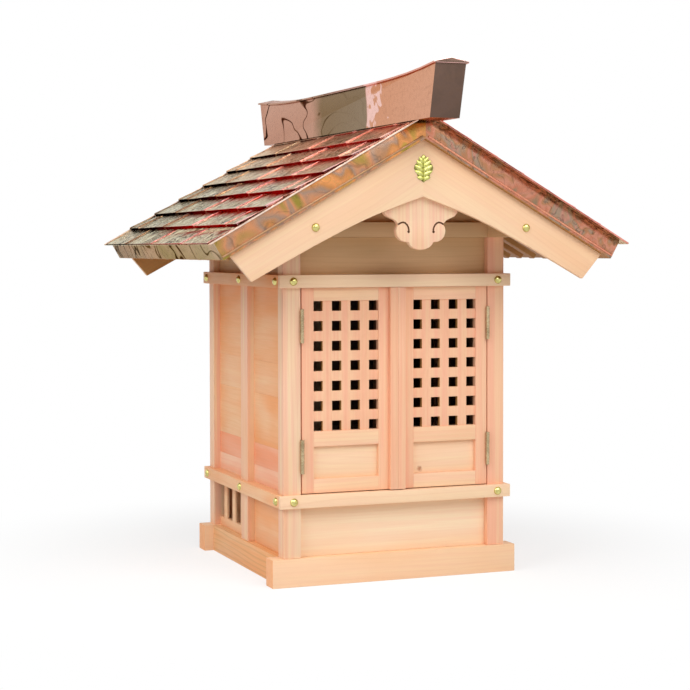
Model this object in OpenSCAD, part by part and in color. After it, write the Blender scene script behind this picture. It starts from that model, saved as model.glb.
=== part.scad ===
// Wayside shrine: a small timber house with a gable front, two lattice doors and a sheet-copper roof.
// Millimetres, Z up, origin on the ground at the middle of the body. The doors face -Y.

/* [Body] */
// Width over the corner posts
body_width = 368; // [240:1:600]
// Depth over the corner posts
body_depth = 373; // [240:1:600]
// Height of the ground sills
sill_height = 43; // [20:1:90]
// Width of the ground sills
sill_width = 31; // [27:0.5:60]
// How far the front and back sills run past the posts at each end
sill_overhang = 18.5; // [8:0.5:50]
// How far the sills stand proud of the post faces
sill_projection = 3; // [0:0.5:20]
// Width of the corner posts, seen from the front
post_width = 28; // [18:0.5:45]
// Depth of the corner posts, seen from the side
post_depth = 24; // [18:0.5:45]
// Width of the middle posts
middle_post_width = 34; // [18:0.5:60]
// Height from the sills to the lower rails
base_height = 76.5; // [40:1:160]
// Height of the lower and upper rails
rail_height = 19.5; // [10:0.5:40]
// How far the rails stand proud of the posts
rail_projection = 8; // [3:0.5:20]
// Height of the door opening between the rails
door_opening_height = 312; // [200:1:600]
// Height of the frieze above the upper rails
frieze_height = 56.5; // [20:1:120]
// How far the wall boards lie behind the post faces
wall_recess = 11; // [3:0.5:15]
// Thickness of the wall boards
wall_thickness = 9; // [4:0.5:12]
// Thickness of the floor
floor_thickness = 12; // [6:0.5:19]

/* [Vents] */
// Height of the board under the vent slats
vent_rail_height = 14.5; // [8:0.5:40]
// Width of one vent slat
vent_slat_width = 16; // [6:0.5:24]
// Gap between a vent's outer slats and the posts
vent_end_gap = 20.8; // [10:0.1:30]
// Thickness of the vent slats
vent_slat_thickness = 4; // [2:0.5:9]
// Number of slats in a vent
vent_slat_count = 3; // [2:1:5]

/* [Doors] */
// Thickness of the doors
door_thickness = 22; // [16:0.5:26]
// Gap between a door and its post, where the hinges sit
door_hinge_gap = 2.6; // [2.2:0.1:5]
// Gap above and below the doors
door_end_gap = 1.5; // [1:0.1:5]
// Gap between the two doors
door_meeting_gap = 3.5; // [3:0.1:8]
// Width of the stile at the hinges
hinge_stile_width = 18.2; // [12:0.5:30]
// Width of the stile where the doors meet
meeting_stile_width = 27.4; // [18:0.1:40]
// Height of the door's top rail
door_top_rail = 18.6; // [10:0.1:40]
// Height of the rail under the lattice
door_middle_rail = 23; // [10:0.5:40]
// Height of the door's bottom rail
door_bottom_rail = 21.4; // [10:0.1:40]
// Height of the lower panel
door_panel_height = 49; // [30:0.5:90]
// Number of lattice holes across a door
lattice_columns = 4; // [2:1:6]
// Number of lattice holes up a door
lattice_rows = 7; // [3:1:9]
// Width of one lattice bar
lattice_bar = 15.1; // [8:0.1:20]
// Thickness of the lattice
lattice_thickness = 8; // [4:0.5:14]
// How far the lattice lies behind the door's face
lattice_recess = 1.5; // [0:0.5:3]
// How far the lower panel lies behind the door's face
door_panel_recess = 6; // [2:0.5:8]
// Thickness of the door's lower panel
door_panel_thickness = 6; // [3:0.5:8]
// Width of the two meeting strips together
meeting_strip_width = 25; // [16:0.5:40]
// Gap between the two meeting strips
meeting_strip_gap = 1; // [0.8:0.1:3]
// How far the meeting strips stand proud of the doors
meeting_strip_projection = 8; // [3:0.5:14]

/* [Hinges] */
// Length of a hinge
hinge_length = 51; // [30:1:60]
// Distance from the door's end to the middle of a hinge
hinge_setback = 56; // [40:1:70]
// Thickness of a hinge leaf
hinge_leaf_thickness = 1; // [0.6:0.1:1]
// Depth of a hinge leaf in the gap
hinge_leaf_depth = 18; // [10:0.5:20]
// Diameter of the hinge knuckles
knuckle_diameter = 6; // [5:0.1:8]
// Diameter of the hinge pin
hinge_pin_diameter = 2.4; // [1.6:0.1:3]

/* [Roof] */
// Slope of the roof in degrees
roof_pitch = 29.7; // [22:0.5:40]
// Distance from the ridge to the eave, level, on top of the slab
eave_reach = 327; // [290:1:420]
// How far the roof slab runs past the posts at each gable
gable_overhang = 110; // [70:1:180]
// Thickness of the copper-clad roof slab
slab_thickness = 30.5; // [16:0.5:45]
// Thickness of the copper top sheet at its rim and crest
sheet_thickness = 3.5; // [1.5:0.1:6]
// Thickness of the copper top sheet at the foot of a course's step
course_bed = 1; // [0.5:0.1:1.5]
// Number of stepped copper courses on each slope
course_count = 8; // [4:1:12]
// Height of the step between two courses
course_step = 6; // [2:0.5:10]
// How much of the top course shows below the ridge box
top_course_show = 4; // [3:0.2:20]
// How far the top sheet runs past the slab at the gables
drip_width = 13; // [4:0.5:25]
// How far the top sheet runs past the slab at the eaves
eave_drip = 9; // [4:0.5:25]
// Depth of a rafter under the slab
rafter_depth = 14; // [8:0.5:24]
// Width of a rafter
rafter_width = 16; // [8:0.5:24]
// Number of rafters on each slope
rafter_count = 13; // [5:1:17]
// How far the rafter ends stay behind the eave
rafter_setback = 23; // [4:0.5:30]
// Height of the wall plates at their middle
plate_height = 31.2; // [20:0.5:60]
// Width of the ridge beam
ridge_beam_width = 27; // [16:0.5:45]
// Height of the ridge beam at its middle
ridge_beam_height = 36; // [20:0.5:50]

/* [Gable trim] */
// Thickness of the bargeboards
bargeboard_thickness = 8.5; // [6:0.5:20]
// How far the bargeboards lie behind the slab's gable face
bargeboard_setback = 8; // [2:0.5:20]
// Upright depth of a bargeboard at the apex
bargeboard_apex_depth = 85; // [65:0.5:130]
// Upright depth of a bargeboard at its tip
bargeboard_tip_depth = 56; // [30:0.5:64]
// Level distance from the eave back to a bargeboard's lower tip
bargeboard_inset = 60; // [45:0.5:90]
// Lean of the cut at a bargeboard's tip, in degrees from upright
bargeboard_cut_lean = 41; // [20:0.5:50]
// Width of the carved pendant
pendant_width = 121; // [80:1:160]
// How far the pendant hangs below its shoulders
pendant_drop = 58.5; // [30:0.5:90]
// How far the pendant's shoulders reach up behind the bargeboards
pendant_lift = 14.5; // [5:0.5:30]
// Thickness of the pendant
pendant_thickness = 10; // [5:0.5:14]
// Width of the leaf ornament
ornament_width = 31; // [18:0.5:45]
// Height of the leaf ornament
ornament_height = 41; // [24:0.5:56]
// Thickness of the leaf ornament
ornament_thickness = 3; // [1.5:0.5:6]

/* [Ridge] */
// How far the ridge box runs past the roof sheet at each end, at the bottom
ridge_overhang = 53; // [20:1:90]
// How much longer the ridge box is at the top, at each end
ridge_flare = 20.5; // [0:0.5:40]
// Width of the ridge box at the bottom
ridge_bottom_width = 47; // [24:0.5:70]
// Width of the ridge box at the top
ridge_top_width = 48; // [24:0.5:70]
// Height of the ridge box's side at its ends
ridge_height = 76; // [40:0.5:120]
// How much lower the ridge box is at its middle
ridge_sag = 11; // [0:0.5:20]
// How far the ridge cap runs past the box at the sides and ends
cap_overhang = 3.5; // [1:0.5:12]
// Thickness of the ridge cap's edge
cap_edge = 2.5; // [1:0.5:8]
// Rise of the ridge cap from its edge to its crest
cap_rise = 6; // [2:0.5:16]

/* [Hidden] */
// Overrun of every cut
cut = 1;
// Clearance between the roof's layers where one lies on the next
lay_clearance = 0.02;
// Running clearance of the hinge pins, on the radius
pin_clearance = 0.05;
// Clearance between neighbouring knuckles, and between knuckles and the timber
knuckle_clearance = 0.2;
// Number of knuckles on a hinge
knuckle_count = 3;
// Sides of a full round
round_sides = 40;

// Heights of the body
sill_top = sill_height;
lower_rail_bottom = sill_top + base_height;
lower_rail_top = lower_rail_bottom + rail_height;
upper_rail_bottom = lower_rail_top + door_opening_height;
upper_rail_top = upper_rail_bottom + rail_height;
post_top = upper_rail_top + frieze_height;

// Plan of the body
half_width = body_width / 2;
half_depth = body_depth / 2;
inner_half_width = half_width - post_width;
inner_half_depth = half_depth - post_depth;
wall_front = half_depth - wall_recess;
wall_back = wall_front - wall_thickness;
wall_side = half_width - wall_recess;
middle_half = middle_post_width / 2;

// Doors
door_edge = inner_half_width - door_hinge_gap;
door_inner = door_meeting_gap / 2;
door_bottom = lower_rail_top + door_end_gap;
door_top = upper_rail_bottom - door_end_gap;
door_back = half_depth - door_thickness;
lattice_outer = door_edge - hinge_stile_width;
lattice_inner = door_inner + meeting_stile_width;
panel_bottom = door_bottom + door_bottom_rail;
panel_top = panel_bottom + door_panel_height;
lattice_bottom = panel_top + door_middle_rail;
lattice_top = door_top - door_top_rail;
column_pitch = (lattice_outer - lattice_inner + lattice_bar) / lattice_columns;
row_pitch = (lattice_top - lattice_bottom + lattice_bar) / lattice_rows;

// Hinges
hinge_x = inner_half_width - door_hinge_gap / 2;
hinge_y = half_depth + knuckle_diameter / 2 + knuckle_clearance;
hinge_low = door_bottom + hinge_setback;
hinge_high = door_top - hinge_setback;
knuckle_pitch = hinge_length / knuckle_count;
leaf_back = half_depth - hinge_leaf_depth;

// Roof: the rafters' undersides pass over the middle of the wall plates
slope_rise = tan(roof_pitch);
slope_run = cos(roof_pitch);
plate_middle = half_width - post_width / 2;
rafter_apex = post_top + plate_height + plate_middle * slope_rise;
slab_apex = rafter_apex + (rafter_depth + lay_clearance) / slope_run;
sheet_apex = slab_apex + (slab_thickness + lay_clearance) / slope_run;
roof_crest = sheet_apex + sheet_thickness / slope_run;
slope_length = eave_reach / slope_run;
sheet_length = slope_length + eave_drip;
top_course_length = ridge_bottom_width / 2 / slope_run + top_course_show;
course_length = (sheet_length - top_course_length) / (course_count - 1);
rafter_length = slope_length - (slab_thickness + rafter_depth) * slope_rise - rafter_setback;
gable_half = half_depth + gable_overhang;
sheet_half = gable_half + drip_width;
board_front = gable_half - bargeboard_setback;
board_back = board_front - bargeboard_thickness;
bargeboard_reach = eave_reach - bargeboard_inset;
rafter_pitch = (2 * board_back - rafter_width) / (rafter_count - 1);

// Lower edge of a bargeboard: shares of its reach, and of the depth gained from tip to apex
bargeboard_reach_shares = [0, 0.05, 0.1, 0.16, 0.22, 0.28, 0.345, 0.41, 0.472, 0.54, 0.6, 0.66, 0.727, 0.81, 0.9, 1];
bargeboard_depth_shares = [1, 0.895, 0.79, 0.67, 0.56, 0.46, 0.365, 0.29, 0.235, 0.185, 0.145, 0.11, 0.08, 0.05, 0.025, 0];

// Half outline of the pendant below its shoulders: shares of its half width and of its drop
pendant_outline_shares = [
    [1, 1], [0.97, 0.92], [0.905, 0.85], [0.82, 0.81], [0.735, 0.775], [0.67, 0.735], [0.625, 0.68], [0.605, 0.63],
    [0.645, 0.57], [0.66, 0.48], [0.645, 0.39], [0.605, 0.31], [0.545, 0.25], [0.475, 0.215], [0.4, 0.2],
    [0.33, 0.195], [0.305, 0.14], [0.26, 0.09], [0.2, 0.048], [0.12, 0.018], [0, 0]];

// Half outline of the leaf ornament, from top to bottom: shares of its half width and half height
ornament_outline_shares = [
    [0, 1], [0.22, 0.88], [0.3, 0.7], [0.55, 0.62], [0.66, 0.42], [0.88, 0.28], [1, 0.02],
    [0.86, -0.24], [0.68, -0.38], [0.6, -0.6], [0.34, -0.7], [0.22, -0.88], [0, -1]];

// Ridge box: it sits astride the two top sheets
ridge_seat = roof_crest + lay_clearance;
ridge_bottom = ridge_seat - ridge_bottom_width / 2 * slope_rise;
ridge_half = sheet_half + ridge_overhang;
ridge_top_half = ridge_half + ridge_flare;
ridge_top = ridge_bottom + ridge_height;
ridge_stations = 16;
ridge_curve_power = 4;
cap_half = ridge_top_width / 2 + cap_overhang;
cap_end = ridge_top_half + cap_overhang;
ornament_height_share = 0.513;
ornament_middle = slab_apex - bargeboard_apex_depth * ornament_height_share;

wood = "#d9b48f";
copper = "#a8674c";
steel = "#9a9a98";
gold = "#b99a3c";

// A block between two corners
module block(low, high) {
    translate(low) cube(high - low);
}

// A copy on each side of the middle plane
module both_sides() {
    children();
    mirror([1, 0, 0]) children();
}

// A copy at the front and at the back
module both_ends() {
    children();
    mirror([0, 1, 0]) children();
}

// An outline drawn in X and Z, from one Y to another
module upright(y_low, y_high) {
    translate([0, y_high, 0]) rotate([90, 0, 0]) linear_extrude(y_high - y_low) children();
}

module end_sills() {
    color(wood) both_ends()
        block([-half_width - sill_overhang, -half_depth - sill_projection, 0],
              [half_width + sill_overhang, -half_depth - sill_projection + sill_width, sill_top]);
}

module side_sills() {
    side_reach = half_depth + sill_projection - sill_width;
    color(wood) both_sides()
        block([-half_width - sill_projection, -side_reach, 0],
              [-half_width - sill_projection + sill_width, side_reach, sill_top]);
}

module corner_posts() {
    color(wood) both_sides() both_ends()
        block([-half_width, -half_depth, sill_top], [-inner_half_width, -inner_half_depth, post_top]);
}

module middle_posts() {
    color(wood) {
        both_sides()
            block([-half_width, -middle_half, sill_top], [-inner_half_width, middle_half, post_top]);
        block([-middle_half, inner_half_depth, sill_top], [middle_half, half_depth, post_top]);
    }
}

// A front rail: a band over the posts and a beam between them
module front_rail(low) {
    high = low + rail_height;
    block([-half_width - rail_projection, -half_depth - rail_projection, low],
          [half_width + rail_projection, -half_depth, high]);
    block([-inner_half_width, -half_depth - rail_projection, low], [inner_half_width, -inner_half_depth, high]);
}

// A back rail, cut round the middle post
module back_rail(low) {
    difference() {
        mirror([0, 1, 0]) front_rail(low);
        block([-middle_half, inner_half_depth - cut, low - cut], [middle_half, half_depth, low + rail_height + cut]);
    }
}

// A side rail between the front and back bands, cut round the middle post
module side_rail(low) {
    high = low + rail_height;
    difference() {
        union() {
            block([-half_width - rail_projection, -half_depth, low], [-half_width, half_depth, high]);
            block([-half_width - rail_projection, -inner_half_depth, low], [-inner_half_width, inner_half_depth, high]);
        }
        block([-half_width, -middle_half, low - cut], [-inner_half_width + cut, middle_half, high + cut]);
    }
}

module front_lower_rail() {
    color(wood) front_rail(lower_rail_bottom);
}

module back_lower_rail() {
    color(wood) back_rail(lower_rail_bottom);
}

module side_lower_rails() {
    color(wood) both_sides() side_rail(lower_rail_bottom);
}

module front_upper_rail() {
    color(wood) front_rail(upper_rail_bottom);
}

module back_upper_rail() {
    color(wood) back_rail(upper_rail_bottom);
}

module side_upper_rails() {
    color(wood) both_sides() side_rail(upper_rail_bottom);
}

module floor_board() {
    color(wood)
        block([-inner_half_width, -inner_half_depth, lower_rail_top - floor_thickness],
              [inner_half_width, inner_half_depth, lower_rail_top]);
}

module front_lower_panel() {
    color(wood)
        block([-inner_half_width, -wall_front, sill_top], [inner_half_width, -wall_back, lower_rail_bottom]);
}

// A board in one bay of the left wall
module left_bay(y_low, y_high, low, high) {
    block([-wall_side, y_low, low], [-wall_side + wall_thickness, y_high, high]);
}

// A board in one bay of the back wall
module back_bay(low, high) {
    both_sides() block([-inner_half_width, wall_back, low], [-middle_half, wall_front, high]);
}

module left_wall_panels() {
    color(wood) both_ends() left_bay(-inner_half_depth, -middle_half, lower_rail_top, upper_rail_bottom);
}

module right_wall_panels() {
    mirror([1, 0, 0]) left_wall_panels();
}

module back_wall_panels() {
    color(wood) back_bay(lower_rail_top, upper_rail_bottom);
}

module lower_wall_panels() {
    color(wood) {
        both_sides() left_bay(-inner_half_depth, -middle_half, sill_top, lower_rail_bottom);
        back_bay(sill_top, lower_rail_bottom);
    }
}

// A vent in the back bay of each side wall: upright slats on a low board
module vent_grilles() {
    bay = inner_half_depth - middle_half;
    slat_pitch = (bay - 2 * vent_end_gap - vent_slat_width) / (vent_slat_count - 1);
    color(wood) both_sides() {
        block([-wall_side, middle_half, sill_top],
              [-wall_side + wall_thickness, inner_half_depth, sill_top + vent_rail_height]);
        for (i = [0 : vent_slat_count - 1])
            translate([0, middle_half + vent_end_gap + i * slat_pitch, 0])
                block([-wall_side, 0, sill_top], [-wall_side + vent_slat_thickness, vent_slat_width, lower_rail_bottom]);
    }
}

module frieze_boards() {
    color(wood) {
        block([-inner_half_width, -wall_front, upper_rail_top], [inner_half_width, -wall_back, post_top]);
        both_sides() both_ends() left_bay(-inner_half_depth, -middle_half, upper_rail_top, post_top);
        back_bay(upper_rail_top, post_top);
    }
}

module tie_beams() {
    plate_inner_height = plate_height - post_width / 2 * slope_rise;
    color(wood) both_ends()
        block([-inner_half_width, -half_depth, post_top],
              [inner_half_width, -inner_half_depth, post_top + plate_inner_height]);
}

module wall_plates() {
    color(wood) both_sides() upright(-board_back, board_back)
        polygon([[-half_width, post_top], [-inner_half_width, post_top],
                 [-inner_half_width, rafter_apex - inner_half_width * slope_rise],
                 [-half_width, rafter_apex - half_width * slope_rise]]);
}

// The ridge beam reaches under both slopes of rafters
module ridge_beam() {
    half = ridge_beam_width / 2;
    low = rafter_apex - ridge_beam_height;
    shoulder = rafter_apex - half * slope_rise;
    color(wood) upright(-board_back, board_back)
        polygon([[-half, low], [half, low], [half, shoulder], [0, rafter_apex], [-half, shoulder]]);
}

// The gable boards stand on the tie beams, reach up to the rafters and are notched for the ridge beam
module gable_boards() {
    low = post_top + plate_height - post_width / 2 * slope_rise;
    shoulder = rafter_apex - inner_half_width * slope_rise;
    notch = ridge_beam_width / 2;
    notch_low = rafter_apex - ridge_beam_height;
    notch_high = rafter_apex - notch * slope_rise;
    color(wood) both_ends() upright(-wall_front, -wall_back)
        polygon([[-inner_half_width, low], [inner_half_width, low], [inner_half_width, shoulder],
                 [notch, notch_high], [notch, notch_low], [-notch, notch_low], [-notch, notch_high],
                 [-inner_half_width, shoulder]]);
}

// A strip along the left slope, with its top on the line through an apex height
module slope_strip(apex, deep, long, y_low, y_high) {
    upright(y_low, y_high) intersection() {
        translate([0, apex]) rotate(roof_pitch) translate([-long, 0]) square([long + deep, deep]);
        translate([-long, 0]) square([long, apex + deep / slope_run + cut]);
    }
}

module left_rafters() {
    color(wood) for (i = [0 : rafter_count - 1])
        slope_strip(rafter_apex, rafter_depth, rafter_length,
                    -board_back + i * rafter_pitch, -board_back + i * rafter_pitch + rafter_width);
}

module right_rafters() {
    mirror([1, 0, 0]) left_rafters();
}

module left_roof_slab() {
    color(copper) slope_strip(slab_apex, slab_thickness, slope_length - slab_thickness * slope_rise,
                              -gable_half, gable_half);
}

module right_roof_slab() {
    mirror([1, 0, 0]) left_roof_slab();
}

// Outline of the courses on the left slope: the eave course, the stepped courses, and a level top course
module course_outline() {
    step_top = course_bed + course_step;
    steps = [for (i = [course_count - 2 : -1 : 0])
        let (foot = -top_course_length - i * course_length, top = i == 0 ? sheet_thickness : step_top)
        each [[foot, course_bed], [foot, top]]];
    eave = [[sheet_thickness, 0], [-sheet_length, 0], [-sheet_length, sheet_thickness]];
    intersection() {
        translate([0, sheet_apex]) rotate(roof_pitch)
            polygon(concat(eave, steps, [[sheet_thickness, sheet_thickness]]));
        translate([-sheet_length, 0]) square([sheet_length, roof_crest + cut]);
    }
}

// The top sheet: the courses over the slab, and a flat rim past it at each gable
module left_roof_sheet() {
    color(copper) union() {
        upright(-gable_half, gable_half) course_outline();
        both_ends() slope_strip(sheet_apex, sheet_thickness, sheet_length, -sheet_half, -gable_half);
    }
}

module right_roof_sheet() {
    mirror([1, 0, 0]) left_roof_sheet();
}

// Outline of the left half of a gable: straight along the slab, bowed below, cut on a lean at the tip
module bargeboard_outline() {
    gain = bargeboard_apex_depth - bargeboard_tip_depth;
    count = len(bargeboard_reach_shares);
    lean = tan(bargeboard_cut_lean);
    tip_top = bargeboard_reach + bargeboard_tip_depth * lean / (1 + lean * slope_rise);
    lower = [for (i = [0 : count - 1])
        let (x = bargeboard_reach * bargeboard_reach_shares[i],
             depth = bargeboard_tip_depth + gain * bargeboard_depth_shares[i])
        [-x, slab_apex - x * slope_rise - depth]];
    polygon(concat([[0, slab_apex]], lower, [[-tip_top, slab_apex - tip_top * slope_rise]]));
}

module left_bargeboards() {
    color(wood) both_ends() upright(-board_front, -board_back) bargeboard_outline();
}

module right_bargeboards() {
    mirror([1, 0, 0]) left_bargeboards();
}

// Outline of a pendant, with its upper part behind the bargeboards
module pendant_outline() {
    half = pendant_width / 2;
    shoulder = slab_apex - bargeboard_apex_depth - half * slope_rise + pendant_lift;
    count = len(pendant_outline_shares);
    low = shoulder - pendant_drop;
    right = [for (p = pendant_outline_shares) [half * p[0], low + pendant_drop * p[1]]];
    left = [for (i = [count - 2 : -1 : 0]) [-right[i][0], right[i][1]]];
    polygon(concat([[0, shoulder + half * slope_rise]], right, left));
}

module pendants() {
    color(wood) both_ends() upright(-board_back, -board_back + pendant_thickness) pendant_outline();
}

module gable_ornament() {
    half = ornament_width / 2;
    rise = ornament_height / 2;
    count = len(ornament_outline_shares);
    right = [for (p = ornament_outline_shares) [half * p[0], ornament_middle + rise * p[1]]];
    left = [for (i = [count - 2 : -1 : 1]) [-right[i][0], right[i][1]]];
    color(gold) upright(-board_front - ornament_thickness, -board_front) polygon(concat(right, left));
}

// Side outline of the ridge box, in Y and Z: a sagging top and raked ends
function ridge_rise(share) = ridge_top - ridge_sag + ridge_sag * pow(abs(share), ridge_curve_power);

module ridge_side_outline() {
    top = [for (i = [0 : ridge_stations])
        let (share = 1 - 2 * i / ridge_stations) [ridge_top_half * share, ridge_rise(share)]];
    polygon(concat([[-ridge_half, ridge_bottom], [ridge_half, ridge_bottom]], top));
}

module ridge_box() {
    bottom = ridge_bottom_width / 2;
    top = ridge_top_width / 2;
    color(copper) difference() {
        intersection() {
            upright(-ridge_top_half - cut, ridge_top_half + cut)
                polygon([[-bottom, ridge_bottom], [bottom, ridge_bottom], [top, ridge_top], [-top, ridge_top]]);
            translate([-top - cut, 0, 0]) rotate([90, 0, 90])
                linear_extrude(ridge_top_width + 2 * cut) ridge_side_outline();
        }
        upright(-sheet_half, sheet_half)
            polygon([[-bottom - cut, ridge_bottom - cut * slope_rise], [bottom + cut, ridge_bottom - cut * slope_rise],
                     [0, ridge_seat]]);
    }
}

// The ridge cap: a low crest that follows the box's top and runs level past its ends
module ridge_cap() {
    box_shares = [for (i = [0 : ridge_stations]) 2 * i / ridge_stations - 1];
    stations = concat([[-cap_end, ridge_top]],
                      [for (share = box_shares) [ridge_top_half * share, ridge_rise(share)]],
                      [[cap_end, ridge_top]]);
    count = len(stations);
    ring = 5;
    points = [for (s = stations)
        each [[-cap_half, s[0], s[1]], [cap_half, s[0], s[1]], [cap_half, s[0], s[1] + cap_edge],
              [0, s[0], s[1] + cap_edge + cap_rise], [-cap_half, s[0], s[1] + cap_edge]]];
    sides = [for (i = [0 : count - 2], k = [0 : ring - 1])
        [i * ring + k, i * ring + (k + 1) % ring, (i + 1) * ring + (k + 1) % ring, (i + 1) * ring + k]];
    first = [for (k = [0 : ring - 1]) ring - 1 - k];
    last = [for (k = [0 : ring - 1]) (count - 1) * ring + k];
    color(copper) polyhedron(points, concat(sides, [first], [last]));
}

// A hinge barrel's knuckle, from one share of the hinge's length to another
module knuckle(middle, first, last) {
    low = middle - hinge_length / 2 + first * knuckle_pitch;
    high = middle - hinge_length / 2 + last * knuckle_pitch;
    translate([-hinge_x, -hinge_y, low]) cylinder(h = high - low, d = knuckle_diameter, $fn = round_sides);
}

// The fixed half of a left-hand hinge: its leaf on the post, two knuckles and the pin
module post_hinge(middle) {
    low = middle - hinge_length / 2;
    high = middle + hinge_length / 2;
    difference() {
        union() {
            block([-inner_half_width, -hinge_y, low],
                  [-inner_half_width + hinge_leaf_thickness, -leaf_back, high]);
            knuckle(middle, 0, knuckle_count);
        }
        translate([0, 0, low + knuckle_pitch - knuckle_clearance])
            block([-half_width, -half_depth - knuckle_diameter - cut, 0],
                  [0, -half_depth, knuckle_pitch + 2 * knuckle_clearance]);
    }
    translate([-hinge_x, -hinge_y, low]) cylinder(h = hinge_length, d = hinge_pin_diameter, $fn = round_sides);
}

// The moving half of a left-hand hinge: its leaf on the door's edge and the middle knuckle
module door_hinge(middle) {
    low = middle - hinge_length / 2;
    high = middle + hinge_length / 2;
    knuckle_low = low + knuckle_pitch;
    difference() {
        union() {
            block([-door_edge - hinge_leaf_thickness, -half_depth, low], [-door_edge, -leaf_back, high]);
            block([-door_edge - hinge_leaf_thickness, -hinge_y, knuckle_low],
                  [-door_edge, -half_depth + cut, knuckle_low + knuckle_pitch]);
            knuckle(middle, 1, knuckle_count - 1);
        }
        translate([-hinge_x, -hinge_y, low - cut])
            cylinder(h = hinge_length + 2 * cut, r = hinge_pin_diameter / 2 + pin_clearance, $fn = round_sides);
    }
}

module post_hinges() {
    color(steel) both_sides() {
        post_hinge(hinge_low);
        post_hinge(hinge_high);
    }
}

// The left door's frame, with an opening for the lattice and one for the panel
module left_door_frame() {
    color(wood) difference() {
        block([-door_edge, -half_depth, door_bottom], [-door_inner, -door_back, door_top]);
        block([-lattice_outer, -half_depth - cut, lattice_bottom], [-lattice_inner, -door_back + cut, lattice_top]);
        block([-lattice_outer, -half_depth - cut, panel_bottom], [-lattice_inner, -door_back + cut, panel_top]);
    }
}

module left_door_lattice() {
    front = -half_depth + lattice_recess;
    back = front + lattice_thickness;
    color(wood) {
        for (i = [1 : lattice_columns - 1])
            block([-lattice_outer + i * column_pitch - lattice_bar, front, lattice_bottom],
                  [-lattice_outer + i * column_pitch, back, lattice_top]);
        for (i = [1 : lattice_rows - 1])
            block([-lattice_outer, front, lattice_bottom + i * row_pitch - lattice_bar],
                  [-lattice_inner, back, lattice_bottom + i * row_pitch]);
    }
}

module left_door_panel() {
    front = -half_depth + door_panel_recess;
    color(wood)
        block([-lattice_outer, front, panel_bottom], [-lattice_inner, front + door_panel_thickness, panel_top]);
}

module left_meeting_strip() {
    color(wood)
        block([-meeting_strip_width / 2, -half_depth - meeting_strip_projection, door_bottom],
              [-meeting_strip_gap / 2, -half_depth, door_top]);
}

module left_door_hinges() {
    color(steel) {
        door_hinge(hinge_low);
        door_hinge(hinge_high);
    }
}

module right_door_frame() {
    mirror([1, 0, 0]) left_door_frame();
}

module right_door_lattice() {
    mirror([1, 0, 0]) left_door_lattice();
}

module right_door_panel() {
    mirror([1, 0, 0]) left_door_panel();
}

module right_meeting_strip() {
    mirror([1, 0, 0]) left_meeting_strip();
}

module right_door_hinges() {
    mirror([1, 0, 0]) left_door_hinges();
}

end_sills();
side_sills();
corner_posts();
middle_posts();
front_lower_rail();
back_lower_rail();
side_lower_rails();
front_upper_rail();
back_upper_rail();
side_upper_rails();
floor_board();
front_lower_panel();
left_wall_panels();
right_wall_panels();
back_wall_panels();
lower_wall_panels();
vent_grilles();
frieze_boards();
tie_beams();
wall_plates();
ridge_beam();
gable_boards();
left_rafters();
right_rafters();
left_roof_slab();
right_roof_slab();
left_roof_sheet();
right_roof_sheet();
left_bargeboards();
right_bargeboards();
pendants();
gable_ornament();
ridge_box();
ridge_cap();
post_hinges();
left_door_frame();
left_door_lattice();
left_door_panel();
left_meeting_strip();
left_door_hinges();
right_door_frame();
right_door_lattice();
right_door_panel();
right_meeting_strip();
right_door_hinges();
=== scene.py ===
"""Looks of the wayside shrine: pale cypress joinery, a stepped copper roof, brass nails and steel hinges."""

import math
import random

import bmesh
import bpy
import numpy as np
from mathutils import Matrix, Vector


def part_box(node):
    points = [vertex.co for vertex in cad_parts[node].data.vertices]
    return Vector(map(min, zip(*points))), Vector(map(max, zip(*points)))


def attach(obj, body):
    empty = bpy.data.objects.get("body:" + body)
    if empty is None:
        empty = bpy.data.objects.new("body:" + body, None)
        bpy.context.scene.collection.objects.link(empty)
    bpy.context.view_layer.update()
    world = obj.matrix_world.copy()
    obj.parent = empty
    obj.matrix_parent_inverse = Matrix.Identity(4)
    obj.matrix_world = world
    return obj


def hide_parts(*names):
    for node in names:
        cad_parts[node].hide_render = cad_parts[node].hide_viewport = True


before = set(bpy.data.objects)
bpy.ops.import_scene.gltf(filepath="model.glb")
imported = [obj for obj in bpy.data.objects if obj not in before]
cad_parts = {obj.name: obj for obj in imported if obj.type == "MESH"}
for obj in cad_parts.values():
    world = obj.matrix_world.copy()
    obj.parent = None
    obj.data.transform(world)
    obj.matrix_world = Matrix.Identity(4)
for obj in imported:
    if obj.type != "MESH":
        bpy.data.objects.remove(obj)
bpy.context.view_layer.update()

MM = 0.001

# Camera, fitted to the photograph
PHOTO_SIDE = 690
CAMERA_PLACE = (-1.0410, -2.5917, 0.5135)
CAMERA_YAW = math.radians(20.79)
CAMERA_PITCH = math.radians(1.806)
CAMERA_ROLL = math.radians(0.12)
FOCAL_PIXELS = 1708.1
CENTRE_PIXEL = (318.1, 300.1)
SENSOR_WIDTH = 36

# Roof
ROOF_PITCH = math.radians(29.7)
SHEET_THICKNESS = 3.5 * MM
COURSE_COUNT = 8
COURSE_BED = 1.4 * MM
COURSE_STEP = 4 * MM
TOP_COURSE_LENGTH = 31 * MM
SHINGLE_WIDTH = 164 * MM
SHINGLES_ACROSS = 5
SHINGLE_LAP = 0.006
SHINGLE_WOBBLE = (0.003, 0.004, 0.0)
SHINGLE_ROOT = 0.4 * MM
SHINGLE_SEED = 5
LOW_STEP_SHARE = 0.5
# Share of a course, from its root, over which the painted reflection of the nose above fades out
REFLECTION_SHARE = 0.62
SEAM_SHARE = 0.022
SEAM_HEIGHT = 1.1 * MM
SEAM_SETBACK = 1.5 * MM
UNDERSHEET = 1.2 * MM
LIP_WIDTH = 2.4 * MM
LIP_HEIGHT = 2.6 * MM
LIP_ARRIS = 0.5 * MM
EAVE_DRIP = 9 * MM
COURSE_REACH = 2 * MM
SLAB_THICKNESS = 30.5 * MM
BEAD_RADIUS = 1.7 * MM
BEAD_RISE = 5 * MM
BEAD_START = 20 * MM
BEAD_SETBACK = 1 * MM
RIDGE_FOLD = 0.8 * MM
# Share of the seams' painted highlight that the ridge's folds take
FOLD_SHINE = 0.7
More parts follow.
